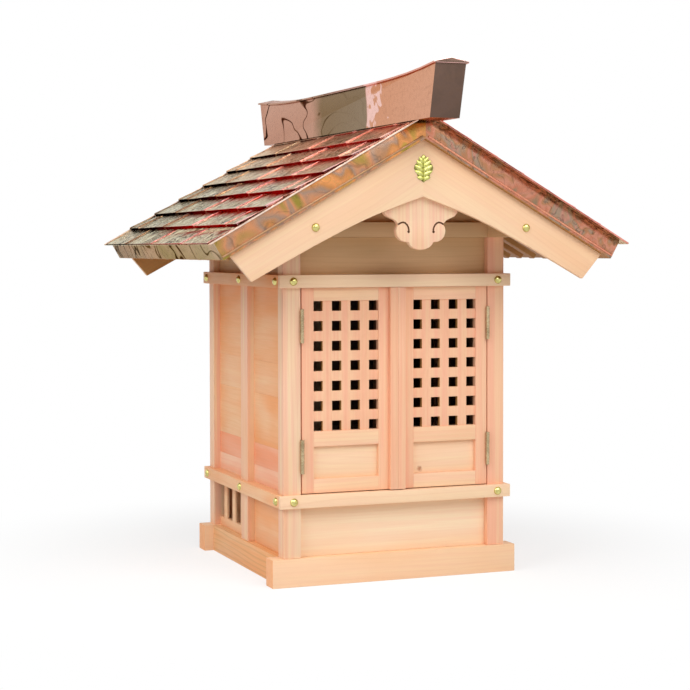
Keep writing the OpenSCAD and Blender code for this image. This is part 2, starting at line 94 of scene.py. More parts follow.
SIDES = ((-1, "left"), (1, "right"))

# The folded nose of a shingle and the front end of its seams, as steps from the upper front edge
SHINGLE_NOSE = [(-1.0 * MM, -0.05 * MM), (-0.3 * MM, -0.2 * MM), (0, -0.6 * MM), (0, -1.4 * MM),
                (-0.3 * MM, -1.7 * MM), (-1.2 * MM, -1.7 * MM)]
SEAM_NOSE = [(-1.0 * MM, SEAM_HEIGHT), (-0.5 * MM, 0)]

# Heights between which the shingles turn rosier and duller towards the ridge
CROWN_LOW = 575 * MM
CROWN_HIGH = 700 * MM
CROWN_ROUGHNESS = 0.2

# Painted highlight on the ridge, a bright flare, as places along it, and how sharply it starts
FLARE_FRONT = -260 * MM
FLARE_LINE = -125 * MM
FLARE_EDGE = 3 * MM

# Timber
ARRIS = 1.1 * MM
FINE_ARRIS = 0.6 * MM
JOINT_ARRIS = 0.3 * MM
SHARP_ANGLE = math.radians(30)
BOARD_GAP = 0.05 * MM
BOARD_ARRIS = 0.4 * MM

# Wall boards from the foot up: height, warmth, and whether the board is rosy
WALL_BOARDS = [(28 * MM, 0.0, True), (35 * MM, 0.62, True), (80 * MM, 0.62, False), (52 * MM, 0.42, False),
               (117 * MM, 0.55, False)]

# Walls: node, axis that the boards run along, seed of their grain
WALLS = [("left_wall_panels", 1, 21), ("right_wall_panels", 1, 22), ("back_wall_panels", 0, 23)]

# Seeds of the grain of the other pieces
SLAB_SEED = 60
RAFTER_SEED = 70
BARGE_SEED = 80
PENDANT_SEED = 90
DOOR_SEED = 100

# Share of an axis in a normal past which a face counts as facing that way
FACING = 0.5

# Inside of the cabinet
INSIDE_HALF_WIDTH = 165 * MM
INSIDE_HALF_DEPTH = 167.5 * MM
INSIDE_FLOOR = 138 * MM

# A knot in the right door's panel, and the shares of the panel's width and height where it sits
KNOT_CORE = 4.2 * MM
KNOT_RIM = 8.6 * MM
KNOT_ACROSS_SHARE = 0.12
KNOT_UP_SHARE = 0.14
KNOT_COLOUR = (0.40, 0.13, 0.055)

# Doors: how much fuller the heads, the left meeting strip and the hinge stiles are than in the source
HEAD_FIT = 1.1 * MM
STRIP_FIT = 0.8 * MM
EDGE_FIT = 0.75 * MM

# Nails
NAIL_RADIUS = 6.3 * MM
NAIL_HEIGHT = 4.2 * MM
NAIL_ACROSS = 170 * MM
NAIL_ALONG = 174.5 * MM
BOARD_NAIL_UP = 540.5 * MM

# Bodies
SHRINE = "shrine"
DOORS = {"left": "left_door", "right": "right_door"}

# Copper's colours: the painted flare and the specks, the seams' painted highlight at the front and the back,
# ripples and tide lines
FLARE_COLOUR = (0.90, 0.62, 0.56)
SPECK_COLOUR = (0.20, 0.12, 0.08)
SEAM_HIGHLIGHT_FRONT = (0.96, 0.60, 0.58)
SEAM_HIGHLIGHT_BACK = (0.50, 0.36, 0.28)
RIPPLE_TINT = (0.40, 0.27, 0.20)
TIDE_TINT = (0.05, 0.04, 0.03)

# The reds under the courses' noses, from the front gable to the back one: a painted reflection, red where
# copper faces copper, going dark as painted shade towards the back
ROOF_HALF_LENGTH = 310 * MM
NOSE_REFLECTION_REDS = [(0.0, (0.20, 0.04, 0.035)), (0.14, (0.60, 0.12, 0.11)), (0.45, (0.48, 0.10, 0.09)),
             (0.75, (0.14, 0.025, 0.022)), (1.0, (0.04, 0.010, 0.010))]

# Studio
FLOOR_HALF = 12
FLOOR_GREY = (0.8, 0.8, 0.8, 1)
SHADOW_GREY = (0.35, 0.35, 0.35, 1)
WHITE = (1, 1, 1, 1)
SHADOW_LIFT = 0.68
SHADOW_REACH = (0.3, 0.8)
SKY_LIGHT = 0.25

# Lamps: name, place, aim, size, power
LAMPS = [("front_softbox", (0.5, -2.9, 2.9), (0, 0, 0.3), (3.4, 2.6), 94),
         ("left_softbox", (-3.0, -1.0, 2.6), (0, 0, 0.35), (2.8, 2.4), 79)]


def add_object(name, data):
    made = bpy.data.objects.new(name, data)
    bpy.context.scene.collection.objects.link(made)
    return made


def place_camera():
    lens = bpy.data.cameras.new("photo_camera")
    lens.sensor_width = SENSOR_WIDTH
    lens.lens = FOCAL_PIXELS / PHOTO_SIDE * SENSOR_WIDTH
    lens.shift_x = 0.5 - CENTRE_PIXEL[0] / PHOTO_SIDE
    lens.shift_y = CENTRE_PIXEL[1] / PHOTO_SIDE - 0.5
    camera = add_object("photo_camera", lens)
    turn = Matrix.Rotation(-CAMERA_YAW, 4, "Z")
    turn = turn @ Matrix.Rotation(math.pi / 2 - CAMERA_PITCH, 4, "X")
    turn = turn @ Matrix.Rotation(-CAMERA_ROLL, 4, "Z")
    camera.matrix_world = Matrix.Translation(CAMERA_PLACE) @ turn
    bpy.context.scene.camera = camera


# Shader helpers

def add_node(tree, kind, inputs=None, **settings):
    made = tree.nodes.new(kind)
    for name, value in settings.items():
        setattr(made, name, value)
    for name, value in (inputs or {}).items():
        socket = made.inputs[name]
        if isinstance(value, bpy.types.NodeSocket):
            tree.links.new(value, socket)
        else:
            socket.default_value = value
    return made


def calc(tree, operation, first, second=0.0, third=0.0, clamp=False):
    made = add_node(tree, "ShaderNodeMath", {0: first, 1: second, 2: third}, operation=operation)
    made.use_clamp = clamp
    return made.outputs[0]


def mix_colour(tree, share, first, second):
    made = tree.nodes.new("ShaderNodeMix")
    made.data_type = "RGBA"
    for index, value in ((0, share), (6, first), (7, second)):
        if isinstance(value, bpy.types.NodeSocket):
            tree.links.new(value, made.inputs[index])
        elif index == 0:
            made.inputs[index].default_value = value
        else:
            made.inputs[index].default_value = (*value, 1)
    return made.outputs[2]


def remap(tree, value, low, high, to_low=0.0, to_high=1.0, smooth=False):
    kind = "SMOOTHSTEP" if smooth else "LINEAR"
    inputs = {"Value": value, "From Min": low, "From Max": high, "To Min": to_low, "To Max": to_high}
    return add_node(tree, "ShaderNodeMapRange", inputs, interpolation_type=kind).outputs[0]


def noise(tree, vector, scale, detail=2.0, roughness=0.5, distortion=0.0):
    inputs = {"Vector": vector, "Scale": scale, "Detail": detail, "Roughness": roughness,
              "Distortion": distortion}
    return add_node(tree, "ShaderNodeTexNoise", inputs).outputs["Fac"]


def stretch(tree, vector, scale, shift=(0, 0, 0)):
    inputs = {"Vector": vector, "Scale": scale, "Location": shift}
    return add_node(tree, "ShaderNodeMapping", inputs).outputs[0]


def stored(tree, name, output="Fac"):
    """An attribute that a mesh carries."""
    return add_node(tree, "ShaderNodeAttribute", attribute_name=name).outputs[output]


def object_place(tree):
    return add_node(tree, "ShaderNodeTexCoord").outputs["Object"]


def split(tree, vector):
    return add_node(tree, "ShaderNodeSeparateXYZ", {"Vector": vector}).outputs


def live_output(made):
    """The output that a node shows for the kind of value it is set to."""
    return [out for out in made.outputs if out.enabled][0]


def ramp(tree, value, stops):
    made = add_node(tree, "ShaderNodeValToRGB", {"Fac": value})
    ramp_stops = made.color_ramp.elements
    while len(ramp_stops) < len(stops):
        ramp_stops.new(0.5)
    for stop, (place, colour) in zip(ramp_stops, stops):
        stop.position = place
        stop.color = (*colour, 1)
    return made.outputs["Color"]


def new_material(name):
    material = bpy.data.materials.new(name)
    material.use_nodes = True
    shader = material.node_tree.nodes["Principled BSDF"]
    return material, material.node_tree, shader


def set_bump(tree, shader, height, strength, distance):
    inputs = {"Height": height, "Strength": strength, "Distance": distance}
    bump = add_node(tree, "ShaderNodeBump", inputs)
    tree.links.new(bump.outputs[0], shader.inputs["Normal"])


# Finishes

def cypress(name, cream, pink, warm, late_wood, figure=0.24, patches=0.28, knot=None):
    """Planed cypress: cream and pink bands, warmer patches, rings and fibres, a knot if one is placed."""
    material, tree, shader = new_material(name)
    grain = stored(tree, "grain", "Vector")
    tone = stored(tree, "tone")
    parts = split(tree, grain)
    sway = noise(tree, stretch(tree, grain, (2.2, 14, 14)), 1.0, 2.0)
    bands = noise(tree, stretch(tree, grain, (2.5, 105, 105)), 1.0, 3.0, 0.55, 0.15)
    fibre = noise(tree, stretch(tree, grain, (22, 900, 900)), 1.0, 2.0)
    across = calc(tree, "MULTIPLY_ADD", parts[1], 0.8, calc(tree, "MULTIPLY", parts[2], 0.6))
    across = calc(tree, "MULTIPLY_ADD", sway, 0.022, across)
    ring = calc(tree, "FRACT", calc(tree, "MULTIPLY", across, 210.0))
    ring = remap(tree, ring, 0.55, 0.96, smooth=True)
    ring = calc(tree, "MULTIPLY", ring, remap(tree, sway, 0.3, 0.75, 0.15, 0.75))
    patch = noise(tree, stretch(tree, grain, (5, 17, 17)), 1.0, 1.5, 0.5, 0.6)
    warmth = calc(tree, "ADD", tone, remap(tree, patch, 0.3, 0.7, -patches, patches), clamp=True)
    colour = mix_colour(tree, remap(tree, bands, 0.36, 0.64, smooth=True), cream, pink)
    colour = mix_colour(tree, warmth, colour, warm)
    colour = mix_colour(tree, calc(tree, "MULTIPLY", ring, figure), colour, late_wood)
    colour = mix_colour(tree, remap(tree, fibre, 0.35, 0.75, 0.0, 0.14), colour, late_wood)
    if knot is not None:
        place = object_place(tree)
        offset = add_node(tree, "ShaderNodeVectorMath", {0: place, 1: knot}, operation="DISTANCE")
        ragged = noise(tree, place, 320.0, 2.0)
        ragged = calc(tree, "MULTIPLY_ADD", ragged, 0.006, offset.outputs["Value"])
        mark = remap(tree, ragged, KNOT_CORE, KNOT_RIM, 0.75, 0.0, smooth=True)
        colour = mix_colour(tree, mark, colour, KNOT_COLOUR)
    tree.links.new(colour, shader.inputs["Base Color"])
    tree.links.new(remap(tree, fibre, 0.3, 0.7, 0.46, 0.62), shader.inputs["Roughness"])
    shader.inputs["Specular IOR Level"].default_value = 0.28
    height = calc(tree, "MULTIPLY_ADD", ring, -0.35, fibre)
    set_bump(tree, shader, height, 0.22, 0.4 * MM)
    return material


def painted_flare(tree, place, drifted):
    """Share of a ragged painted highlight, a flare that starts sharply at a line across the ridge and thins
    forwards.
    """
    flare_ragging = noise(tree, place, 42.0, 2.0, 0.55, 0.6)
    rise = remap(tree, drifted, FLARE_FRONT, FLARE_LINE, -0.3, 0.15)
    ragged = remap(tree, calc(tree, "ADD", flare_ragging, rise), 0.47, 0.53, smooth=True)
    behind = remap(tree, drifted, FLARE_LINE, FLARE_LINE + FLARE_EDGE, 1.0, 0.0)
    return calc(tree, "MULTIPLY", ragged, behind)


def nose_red_reflection(tree, place, length, near_ridge):
    """Share of the painted reflection that each course takes from the red nose above it, in ragged streaks
    that fade to the back.
    """
    rising = stored(tree, "nose_reflection")
    reflection_ragging = noise(tree, stretch(tree, place, (12, 62, 12)), 1.0, 2.0, 0.5, 0.3)
    nose_reflection = remap(tree, calc(tree, "MULTIPLY_ADD", reflection_ragging, 1.7, rising), 1.0, 1.75, smooth=True)
    nose_reflection = calc(tree, "MULTIPLY", nose_reflection, remap(tree, rising, 0.0, 0.2))
    nose_reflection = calc(tree, "MULTIPLY", nose_reflection, remap(tree, length, 0.0, 0.2, 0.9, 0.25, smooth=True))
    return calc(tree, "MULTIPLY", nose_reflection, remap(tree, near_ridge, 0.0, 1.0, 1.0, 0.4))


def copper(name, stops, scale, line_share, along=None, rough=(0.16, 0.32), wave=0.25,
           swirl=0.9, streaks=(1, 1, 1), line_scale=2.6, line_width=0.03, spots=0.35, edge=None,
           shift=(0, 0, 0), detail=2.5, tide_colour=(0.035, 0.025, 0.018)):
    """Sheet copper: soft tarnish clouds, dark tide lines, risers painted red as reflection, seams painted
    pink as highlight, a rippled face.
    """
    material, tree, shader = new_material(name)
    place = object_place(tree)
    riser = stored(tree, "riser")
    hem = stored(tree, "hem")
    shifted = calc(tree, "MULTIPLY", stored(tree, "tone"), 7.3)
    inputs = {"Vector": place, "Scale": scale, "Detail": detail, "Distortion": swirl, "W": shifted}
    cloud = add_node(tree, "ShaderNodeTexNoise", inputs, noise_dimensions="4D").outputs["Fac"]
    speckle = noise(tree, place, 160.0, 3.0, 0.6)
    swell = noise(tree, stretch(tree, place, streaks, shift), scale * line_scale, 1.0, 0.4, 1.4)
    tide = calc(tree, "ABSOLUTE", calc(tree, "SUBTRACT", swell, 0.5))
    tide = remap(tree, tide, 0.2 * line_width, line_width, 1.0, 0.0, smooth=True)
    tide = calc(tree, "MULTIPLY", tide, remap(tree, cloud, 0.35, 0.55, 0.0, line_share))
    length = split(tree, place)["Y"]
    if along is None:
        colour = ramp(tree, cloud, stops)
    else:
        drift = remap(tree, cloud, 0.3, 0.7, -0.04, 0.04)
        drifted = calc(tree, "ADD", length, drift)
        colour = ramp(tree, remap(tree, drifted, -along, along), stops)
        # A painted highlight: a bright flare on the ridge
        colour = mix_colour(tree, painted_flare(tree, place, drifted), colour, FLARE_COLOUR)
        tide = calc(tree, "MULTIPLY", tide, remap(tree, drifted, 0.0, 0.1, 0.1, 1.0))
    colour = mix_colour(tree, tide, colour, tide_colour)
    colour = mix_colour(tree, remap(tree, speckle, 0.45, 0.8, 0.0, spots), colour, SPECK_COLOUR)
    # Painted reflection: red under the noses, dark as painted shade towards the back
    red = ramp(tree, remap(tree, length, -ROOF_HALF_LENGTH, ROOF_HALF_LENGTH), NOSE_REFLECTION_REDS)
    # Painted highlight on the seams: pink at the front, browner at the back
    pink = mix_colour(tree, remap(tree, length, -0.05, 0.12, smooth=True), SEAM_HIGHLIGHT_FRONT, SEAM_HIGHLIGHT_BACK)
    roughness = remap(tree, speckle, 0.3, 0.7, *rough)
    flat_tint = colour
    if edge is not None:
        near_ridge = remap(tree, split(tree, place)["Z"], CROWN_LOW, CROWN_HIGH, smooth=True)
        roughness = calc(tree, "MULTIPLY_ADD", near_ridge, CROWN_ROUGHNESS, roughness)
        foot, crown_front, crown_back = edge
        crown = mix_colour(tree, remap(tree, length, -0.04, 0.16, smooth=True), crown_front, crown_back)
        ripple = noise(tree, stretch(tree, place, (26, 110, 26)), 1.0, 2.0, 0.6, 0.4)
        flat_tint = mix_colour(tree, near_ridge, foot, crown)
        flat_tint = mix_colour(tree, remap(tree, ripple, 0.5, 0.66, 0.0, 0.5), flat_tint, RIPPLE_TINT)
        flat_tint = mix_colour(tree, tide, flat_tint, TIDE_TINT)
        # The courses' painted reflection of the red noses above them
        nose_reflection = nose_red_reflection(tree, place, length, near_ridge)
        flat_tint = mix_colour(tree, nose_reflection, flat_tint, red)
        colour = mix_colour(tree, calc(tree, "MULTIPLY", nose_reflection, 0.5), colour, red)
        # The seams' painted highlight fades towards the ridge
        faded_highlight = calc(tree, "MULTIPLY", near_ridge, remap(tree, ripple, 0.4, 0.56, 0.15, 0.75))
        pink = mix_colour(tree, faded_highlight, pink, crown)
    tint = mix_colour(tree, hem, mix_colour(tree, riser, flat_tint, red), pink)
    colour = mix_colour(tree, hem, mix_colour(tree, riser, colour, red), pink)
    tree.links.new(colour, shader.inputs["Base Color"])
    shader.inputs["Metallic"].default_value = 1.0
    tree.links.new(tint, shader.inputs["Specular Tint"])
    tree.links.new(roughness, shader.inputs["Roughness"])
    height = calc(tree, "MULTIPLY_ADD", speckle, 0.04, swell)
    set_bump(tree, shader, height, wave, 2.5 * MM)
    return material


def cast_metal(name, bright, dull, rough, scale):
    """A small metal fitting: polished high spots, a duller skin between them."""
    material, tree, shader = new_material(name)
    place = object_place(tree)
    cloud = noise(tree, place, scale, 3.0, 0.6)
    pits = noise(tree, place, scale * 9, 2.0)
    colour = mix_colour(tree, remap(tree, cloud, 0.35, 0.65), bright, dull)
    tree.links.new(colour, shader.inputs["Base Color"])
    shader.inputs["Metallic"].default_value = 1.0
    tree.links.new(remap(tree, pits, 0.3, 0.7, *rough), shader.inputs["Roughness"])
    set_bump(tree, shader, pits, 0.12, 0.3 * MM)
    return material


def knot_place():
    """Where the knot is, on the front face of the right door's panel."""
    low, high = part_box("right_door_panel")
    across = low.x + KNOT_ACROSS_SHARE * (high.x - low.x)
    up = low.z + KNOT_UP_SHARE * (high.z - low.z)
    return (across, low.y, up)


# Woods: colours of the cream and the pink bands, the warm patches and the late wood
PALE_COLOURS = [(0.98, 0.71, 0.46), (0.97, 0.66, 0.44), (0.95, 0.56, 0.31), (0.80, 0.45, 0.25)]
WOOD = cypress("planed_cypress", (0.95, 0.70, 0.46), (0.93, 0.56, 0.39), (0.90, 0.47, 0.20),
               (0.72, 0.35, 0.18))
PALE_WOOD = cypress("pale_cypress", *PALE_COLOURS)
SIDE_WOOD = cypress("side_cypress", (0.94, 0.61, 0.36), (0.92, 0.55, 0.32), (0.92, 0.40, 0.16),
                    (0.70, 0.34, 0.15), figure=0.2, patches=0.45)
ROSY_WOOD = cypress("rosy_cypress", (0.96, 0.61, 0.42), (0.95, 0.54, 0.36), (0.92, 0.36, 0.19),
                    (0.76, 0.34, 0.2), figure=0.25, patches=0.45)
END_WOOD = cypress("end_grain_cypress", (1.0, 0.56, 0.29), (0.98, 0.50, 0.25), (0.96, 0.42, 0.18),
                   (0.82, 0.36, 0.16))
SILL_WOOD = cypress("sill_cypress", (0.93, 0.60, 0.33), (0.92, 0.52, 0.26), (0.90, 0.40, 0.15),
                    (0.50, 0.25, 0.09), figure=0.6, patches=0.35)
# Paler cypress for the front lower panel: painted light that lifts the shade under the rail above
FRONT_LIT_WOOD = cypress("front_lit_cypress", (0.99, 0.77, 0.53), (0.98, 0.71, 0.49), (0.97, 0.63, 0.38),
                     (0.84, 0.50, 0.28))
KNOTTY_WOOD = cypress("knotty_cypress", *PALE_COLOURS, knot=knot_place())
PINK_WOOD = cypress("door_cypress", (0.97, 0.60, 0.375), (0.96, 0.50, 0.33), (0.94, 0.48, 0.28),
                    (0.78, 0.37, 0.2))
RAIL_WOOD = cypress("rail_cypress", (0.98, 0.69, 0.44), (0.97, 0.60, 0.40), (0.95, 0.54, 0.30),
                    (0.80, 0.42, 0.22))
# Darker cypress for the frieze, beams, plates and gable boards: painted shade under the roof
EAVE_SHADE_WOOD = cypress("eave_shade_cypress", (0.94, 0.61, 0.33), (0.88, 0.55, 0.30), (0.60, 0.38, 0.18),
                    (0.56, 0.32, 0.15))
# Dark cypress for what lies under the roof and in the lattice's holes: painted shade
UNDER_ROOF_SHADE_WOOD = cypress("under_roof_shade_cypress", (0.56, 0.30, 0.10), (0.52, 0.26, 0.08), (0.46, 0.21, 0.06),
                     (0.36, 0.17, 0.05))
# Very dark cypress for the faces inside the cabinet: painted shade
INNER_SHADE_WOOD = cypress("inner_shade_cypress", (0.20, 0.12, 0.07), (0.17, 0.10, 0.06), (0.14, 0.08, 0.05),
                     (0.1, 0.06, 0.04))
# Dark brown for the faces of the cut grooves: painted shade in the cuts
GROOVE = cypress("cut_groove", (0.17, 0.07, 0.03), (0.15, 0.06, 0.025), (0.12, 0.05, 0.02),
                 (0.08, 0.03, 0.012))

# Coppers: stops of the tarnish clouds, scale of the clouds, strength of the tide lines
SHINGLE_COPPER = copper("shingle_copper", [
    (0.30, (0.62, 0.40, 0.27)), (0.42, (0.76, 0.52, 0.38)), (0.50, (0.73, 0.45, 0.33)),
    (0.58, (0.70, 0.50, 0.36)), (0.68, (0.76, 0.43, 0.31))], 9.0, 0.9,
    rough=(0.05, 0.16), wave=0.5, streaks=(1.6, 3.5, 1.6), line_width=0.06,
    edge=((0.85, 0.92, 0.72), (1.0, 0.68, 0.54), (1.0, 0.89, 0.71)),
    tide_colour=(0.34, 0.20, 0.13))
BAND_COPPER = copper("gable_band_copper", [
    (0.30, (0.34, 0.25, 0.05)), (0.39, (0.52, 0.33, 0.07)), (0.45, (0.82, 0.34, 0.12)),
    (0.50, (0.60, 0.26, 0.09)), (0.55, (0.40, 0.26, 0.19)), (0.60, (0.66, 0.29, 0.14)),
    (0.70, (0.34, 0.26, 0.05))], 10.0, 0.3, swirl=1.8, detail=1.2)
RED_BAND_COPPER = copper("red_band_copper", [
    (0.30, (0.32, 0.22, 0.13)), (0.40, (0.60, 0.22, 0.13)), (0.46, (0.62, 0.27, 0.18)),
    (0.51, (0.48, 0.22, 0.11)), (0.57, (0.38, 0.27, 0.19)), (0.62, (0.58, 0.26, 0.19)),
    (0.70, (0.34, 0.25, 0.14))], 15.0, 0.5, swirl=1.8, detail=2.2)
EAVE_COPPER = copper("eave_copper", [
    (0.35, (0.56, 0.45, 0.32)), (0.5, (0.63, 0.48, 0.36)), (0.65, (0.52, 0.43, 0.29))], 5.0, 0.8,
    streaks=(0.8, 1.1, 0.8), line_scale=2.7, line_width=0.045, tide_colour=(0.10, 0.08, 0.05),
    shift=(0.4, 0.1, 0.2))
RIDGE_COPPER = copper("ridge_copper", [
    (0.02, (0.70, 0.38, 0.255)), (0.25, (0.70, 0.38, 0.255)), (0.335, (0.70, 0.39, 0.27)),
    (0.345, (0.36, 0.285, 0.215)), (0.58, (0.38, 0.295, 0.22)), (0.64, (0.64, 0.43, 0.35)),
    (0.98, (0.68, 0.46, 0.38))], 5.0, 1.0, along=0.39, line_scale=1.9, line_width=0.026, spots=0.15,
    streaks=(1, 0.55, 1.4), shift=(0.13, 0.0, 0.31))
RIDGE_END_COPPER = copper("ridge_end_copper", [
    (0.4, (0.13, 0.085, 0.065)), (0.6, (0.16, 0.10, 0.077))], 20.0, 0.0, rough=(0.35, 0.55), wave=0.1)
# Verge lips: cream on the left as a painted highlight, dark red on the right with painted highlights in
# bright red flecks
LIP_HIGHLIGHT_COPPER = copper("lip_highlight_copper", [
    (0.35, (0.94, 0.78, 0.67)), (0.65, (0.90, 0.68, 0.57))], 20.0, 0.0, rough=(0.2, 0.35), wave=0.05)
RED_LIP_HIGHLIGHT_COPPER = copper("red_lip_highlight_copper", [
    (0.38, (0.34, 0.05, 0.05)), (0.5, (0.70, 0.15, 0.12)), (0.62, (0.92, 0.32, 0.27))], 20.0, 0.0,
    rough=(0.2, 0.35), wave=0.05)
BEAD_COPPER = copper("bead_copper", [
    (0.35, (0.44, 0.26, 0.14)), (0.65, (0.50, 0.29, 0.17))], 20.0, 0.0, rough=(0.45, 0.6), wave=0.05)
RED_BEAD_COPPER = copper("red_bead_copper", [
    (0.35, (0.80, 0.36, 0.22)), (0.65, (0.74, 0.28, 0.18))], 20.0, 0.0, rough=(0.2, 0.4), wave=0.05)
BANDS = {"left": BAND_COPPER, "right": RED_BAND_COPPER}
LIP_HIGHLIGHTS = {"left": LIP_HIGHLIGHT_COPPER, "right": RED_LIP_HIGHLIGHT_COPPER}
BEADS = {"left": BEAD_COPPER, "right": RED_BEAD_COPPER}

# Fittings: bright and dull colour, roughness, scale of the clouds
BRASS = cast_metal("brass_nail", (0.72, 0.64, 0.25), (0.46, 0.40, 0.13), (0.14, 0.28), 220.0)
GILT = cast_metal("gilt_leaf", (0.72, 0.70, 0.24), (0.46, 0.46, 0.11), (0.2, 0.36), 320.0)
GILT_GROUND = cast_metal("gilt_ground", (0.26, 0.25, 0.06), (0.18, 0.17, 0.04), (0.35, 0.5), 160.0)
STEEL = cast_metal("hinge_steel", (0.58, 0.46, 0.28), (0.36, 0.28, 0.16), (0.2, 0.36), 60.0)


# Mesh helpers

def island_labels(mesh):
    """A number for each vertex that tells which separate board it belongs to."""
    parent = list(range(len(mesh.vertices)))

    def root(index):
        while parent[index] != index:
            parent[index] = parent[parent[index]]
            index = parent[index]
        return index

    for edge in mesh.edges:
        first, second = (root(index) for index in edge.vertices)
        if first != second:
            parent[max(first, second)] = min(first, second)
    return np.array([root(index) for index in range(len(parent))])


def mark_grain(mesh, seed, tone=0.2, spread=0.15, axis=None, turn=None, as_one=False):
    """Stores each board's own grain coordinates, length first, and how warm the board is."""
    dice = random.Random(seed)
    count = len(mesh.vertices)
    places = np.zeros(count * 3)
    mesh.vertices.foreach_get("co", places)
    places = places.reshape(-1, 3)
    if turn is not None:
        places = places @ np.array(turn.to_3x3()).T
    labels = np.zeros(count, int) if as_one else island_labels(mesh)
    grain = np.zeros((count, 3))
    tones = np.zeros(count)
    for label in np.unique(labels):
        chosen = labels == label
        own = places[chosen]
        length = axis if axis is not None else int(np.argmax(own.max(0) - own.min(0)))
        order = [length] + [other for other in range(3) if other != length]
        offset = [dice.uniform(0, 4), dice.uniform(0, 2), dice.uniform(0, 2)]
        grain[chosen] = own[:, order] + np.array(offset)
        tones[chosen] = tone + dice.uniform(-spread, spread)
    mesh.attributes.new("grain", "FLOAT_VECTOR", "POINT").data.foreach_set("vector", grain.ravel())
    mesh.attributes.new("tone", "FLOAT", "POINT").data.foreach_set("value", tones)


def on_middle(edge):
    return all(abs(vert.co.x) < 0.01 * MM for vert in edge.verts)


def ease_edges(shape, width):
    """Rounds every sharp edge of a solid, save on the middle plane, and returns the new faces."""
    sharp = [edge for edge in shape.edges
             if edge.is_manifold and edge.calc_face_angle() > SHARP_ANGLE and not on_middle(edge)]
    made = bmesh.ops.bevel(shape, geom=sharp, offset=width, segments=2, profile=0.6,
                           affect="EDGES", clamp_overlap=True)
    for face in shape.faces:
        face.smooth = True
    for edge in shape.edges:
        edge.smooth = edge.is_manifold and edge.calc_face_angle() < SHARP_ANGLE
    return made["faces"]


def merged_copy(node):
    shape = bmesh.new()
    shape.from_mesh(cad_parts[node].data)
    bmesh.ops.remove_doubles(shape, verts=shape.verts, dist=0.001 * MM)
    bmesh.ops.dissolve_limit(shape, angle_limit=math.radians(0.5), verts=shape.verts, edges=shape.edges)
    return shape


def add_block(shape, low, high):
    low = Vector(low)
    high = Vector(high)
    size = Matrix.Diagonal((*(high - low), 1))
    bmesh.ops.create_cube(shape, size=1, matrix=Matrix.Translation((low + high) / 2) @ size)


def add_outline(shape, points, low, high):
    """A closed prism of a flat outline, given as places in X and Z, between two places in Y."""
    ends = []
    for place in (low, high):
        ends.append([shape.verts.new((across, place, up)) for across, up in points])
    shape.faces.new(ends[0])
    shape.faces.new(ends[1])
    count = len(points)
    for index in range(count):
        after = (index + 1) % count
        shape.faces.new((ends[0][index], ends[0][after], ends[1][after], ends[1][index]))
    bmesh.ops.recalc_face_normals(shape, faces=shape.faces)


def shade_inside(shape):
    """Gives every face that looks into the cabinet the second material, dark wood as painted shade."""
    for face in shape.faces:
        spots = [vert.co for vert in face.verts]
        width = max(abs(spot.x) for spot in spots)
        depth = max(abs(spot.y) for spot in spots)
        foot = min(spot.z for spot in spots)
        if width < INSIDE_HALF_WIDTH and depth < INSIDE_HALF_DEPTH and foot > INSIDE_FLOOR:
            face.material_index = 1


def to_mesh(shape, name):
    mesh = bpy.data.meshes.new(name)
    shape.to_mesh(mesh)
    shape.free()
    return mesh


def show(mesh, name, materials, body, nodes=()):
    """Puts a finished mesh in the scene, on its body, in place of CAD nodes."""
    for material in materials:
        if material.name not in mesh.materials:
            mesh.materials.append(material)
    piece = add_object(name, mesh)
    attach(piece, body)
    if nodes:
        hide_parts(*nodes)


# Geometry Nodes helpers

def new_tree(name, sockets):
    tree = bpy.data.node_groups.new(name, "GeometryNodeTree")
    tree.interface.new_socket(name="Geometry", in_out="OUTPUT", socket_type="NodeSocketGeometry")
    for label, kind in sockets:
        tree.interface.new_socket(name=label, in_out="INPUT", socket_type="NodeSocket" + kind)
    enter = tree.nodes.new("NodeGroupInput")
    leave = tree.nodes.new("NodeGroupOutput")
    return tree, enter.outputs, leave.inputs


def finish_tree(tree, geometry, material, leave):
    real = add_node(tree, "GeometryNodeRealizeInstances", {"Geometry": geometry})
    made = add_node(tree, "GeometryNodeSetMaterial", {"Geometry": real.outputs[0], "Material": material})
    tree.links.new(made.outputs[0], leave["Geometry"])


def grow(tree, name, values, start=None):
    """Runs a tree on a passing object and returns the plain mesh that it makes."""
    maker = add_object(name + "_maker", start or bpy.data.meshes.new(name + "_start"))
    modifier = maker.modifiers.new(name, "NODES")
    modifier.node_group = tree
    for item in tree.interface.items_tree:
        if item.item_type == "SOCKET" and item.in_out == "INPUT" and item.name in values:
            modifier[item.identifier] = values[item.name]
    graph = bpy.context.evaluated_depsgraph_get()
    mesh = bpy.data.meshes.new_from_object(maker.evaluated_get(graph), depsgraph=graph)
    mesh.name = name
    mesh.materials.clear()
    mesh.polygons.foreach_set("material_index", [0] * len(mesh.polygons))
    maker.modifiers.remove(modifier)
    bpy.data.objects.remove(maker)
    return mesh


def join_meshes(meshes, name):
    shape = bmesh.new()
    for mesh in meshes:
        shape.from_mesh(mesh)
    return to_mesh(shape, name)


# Body timber

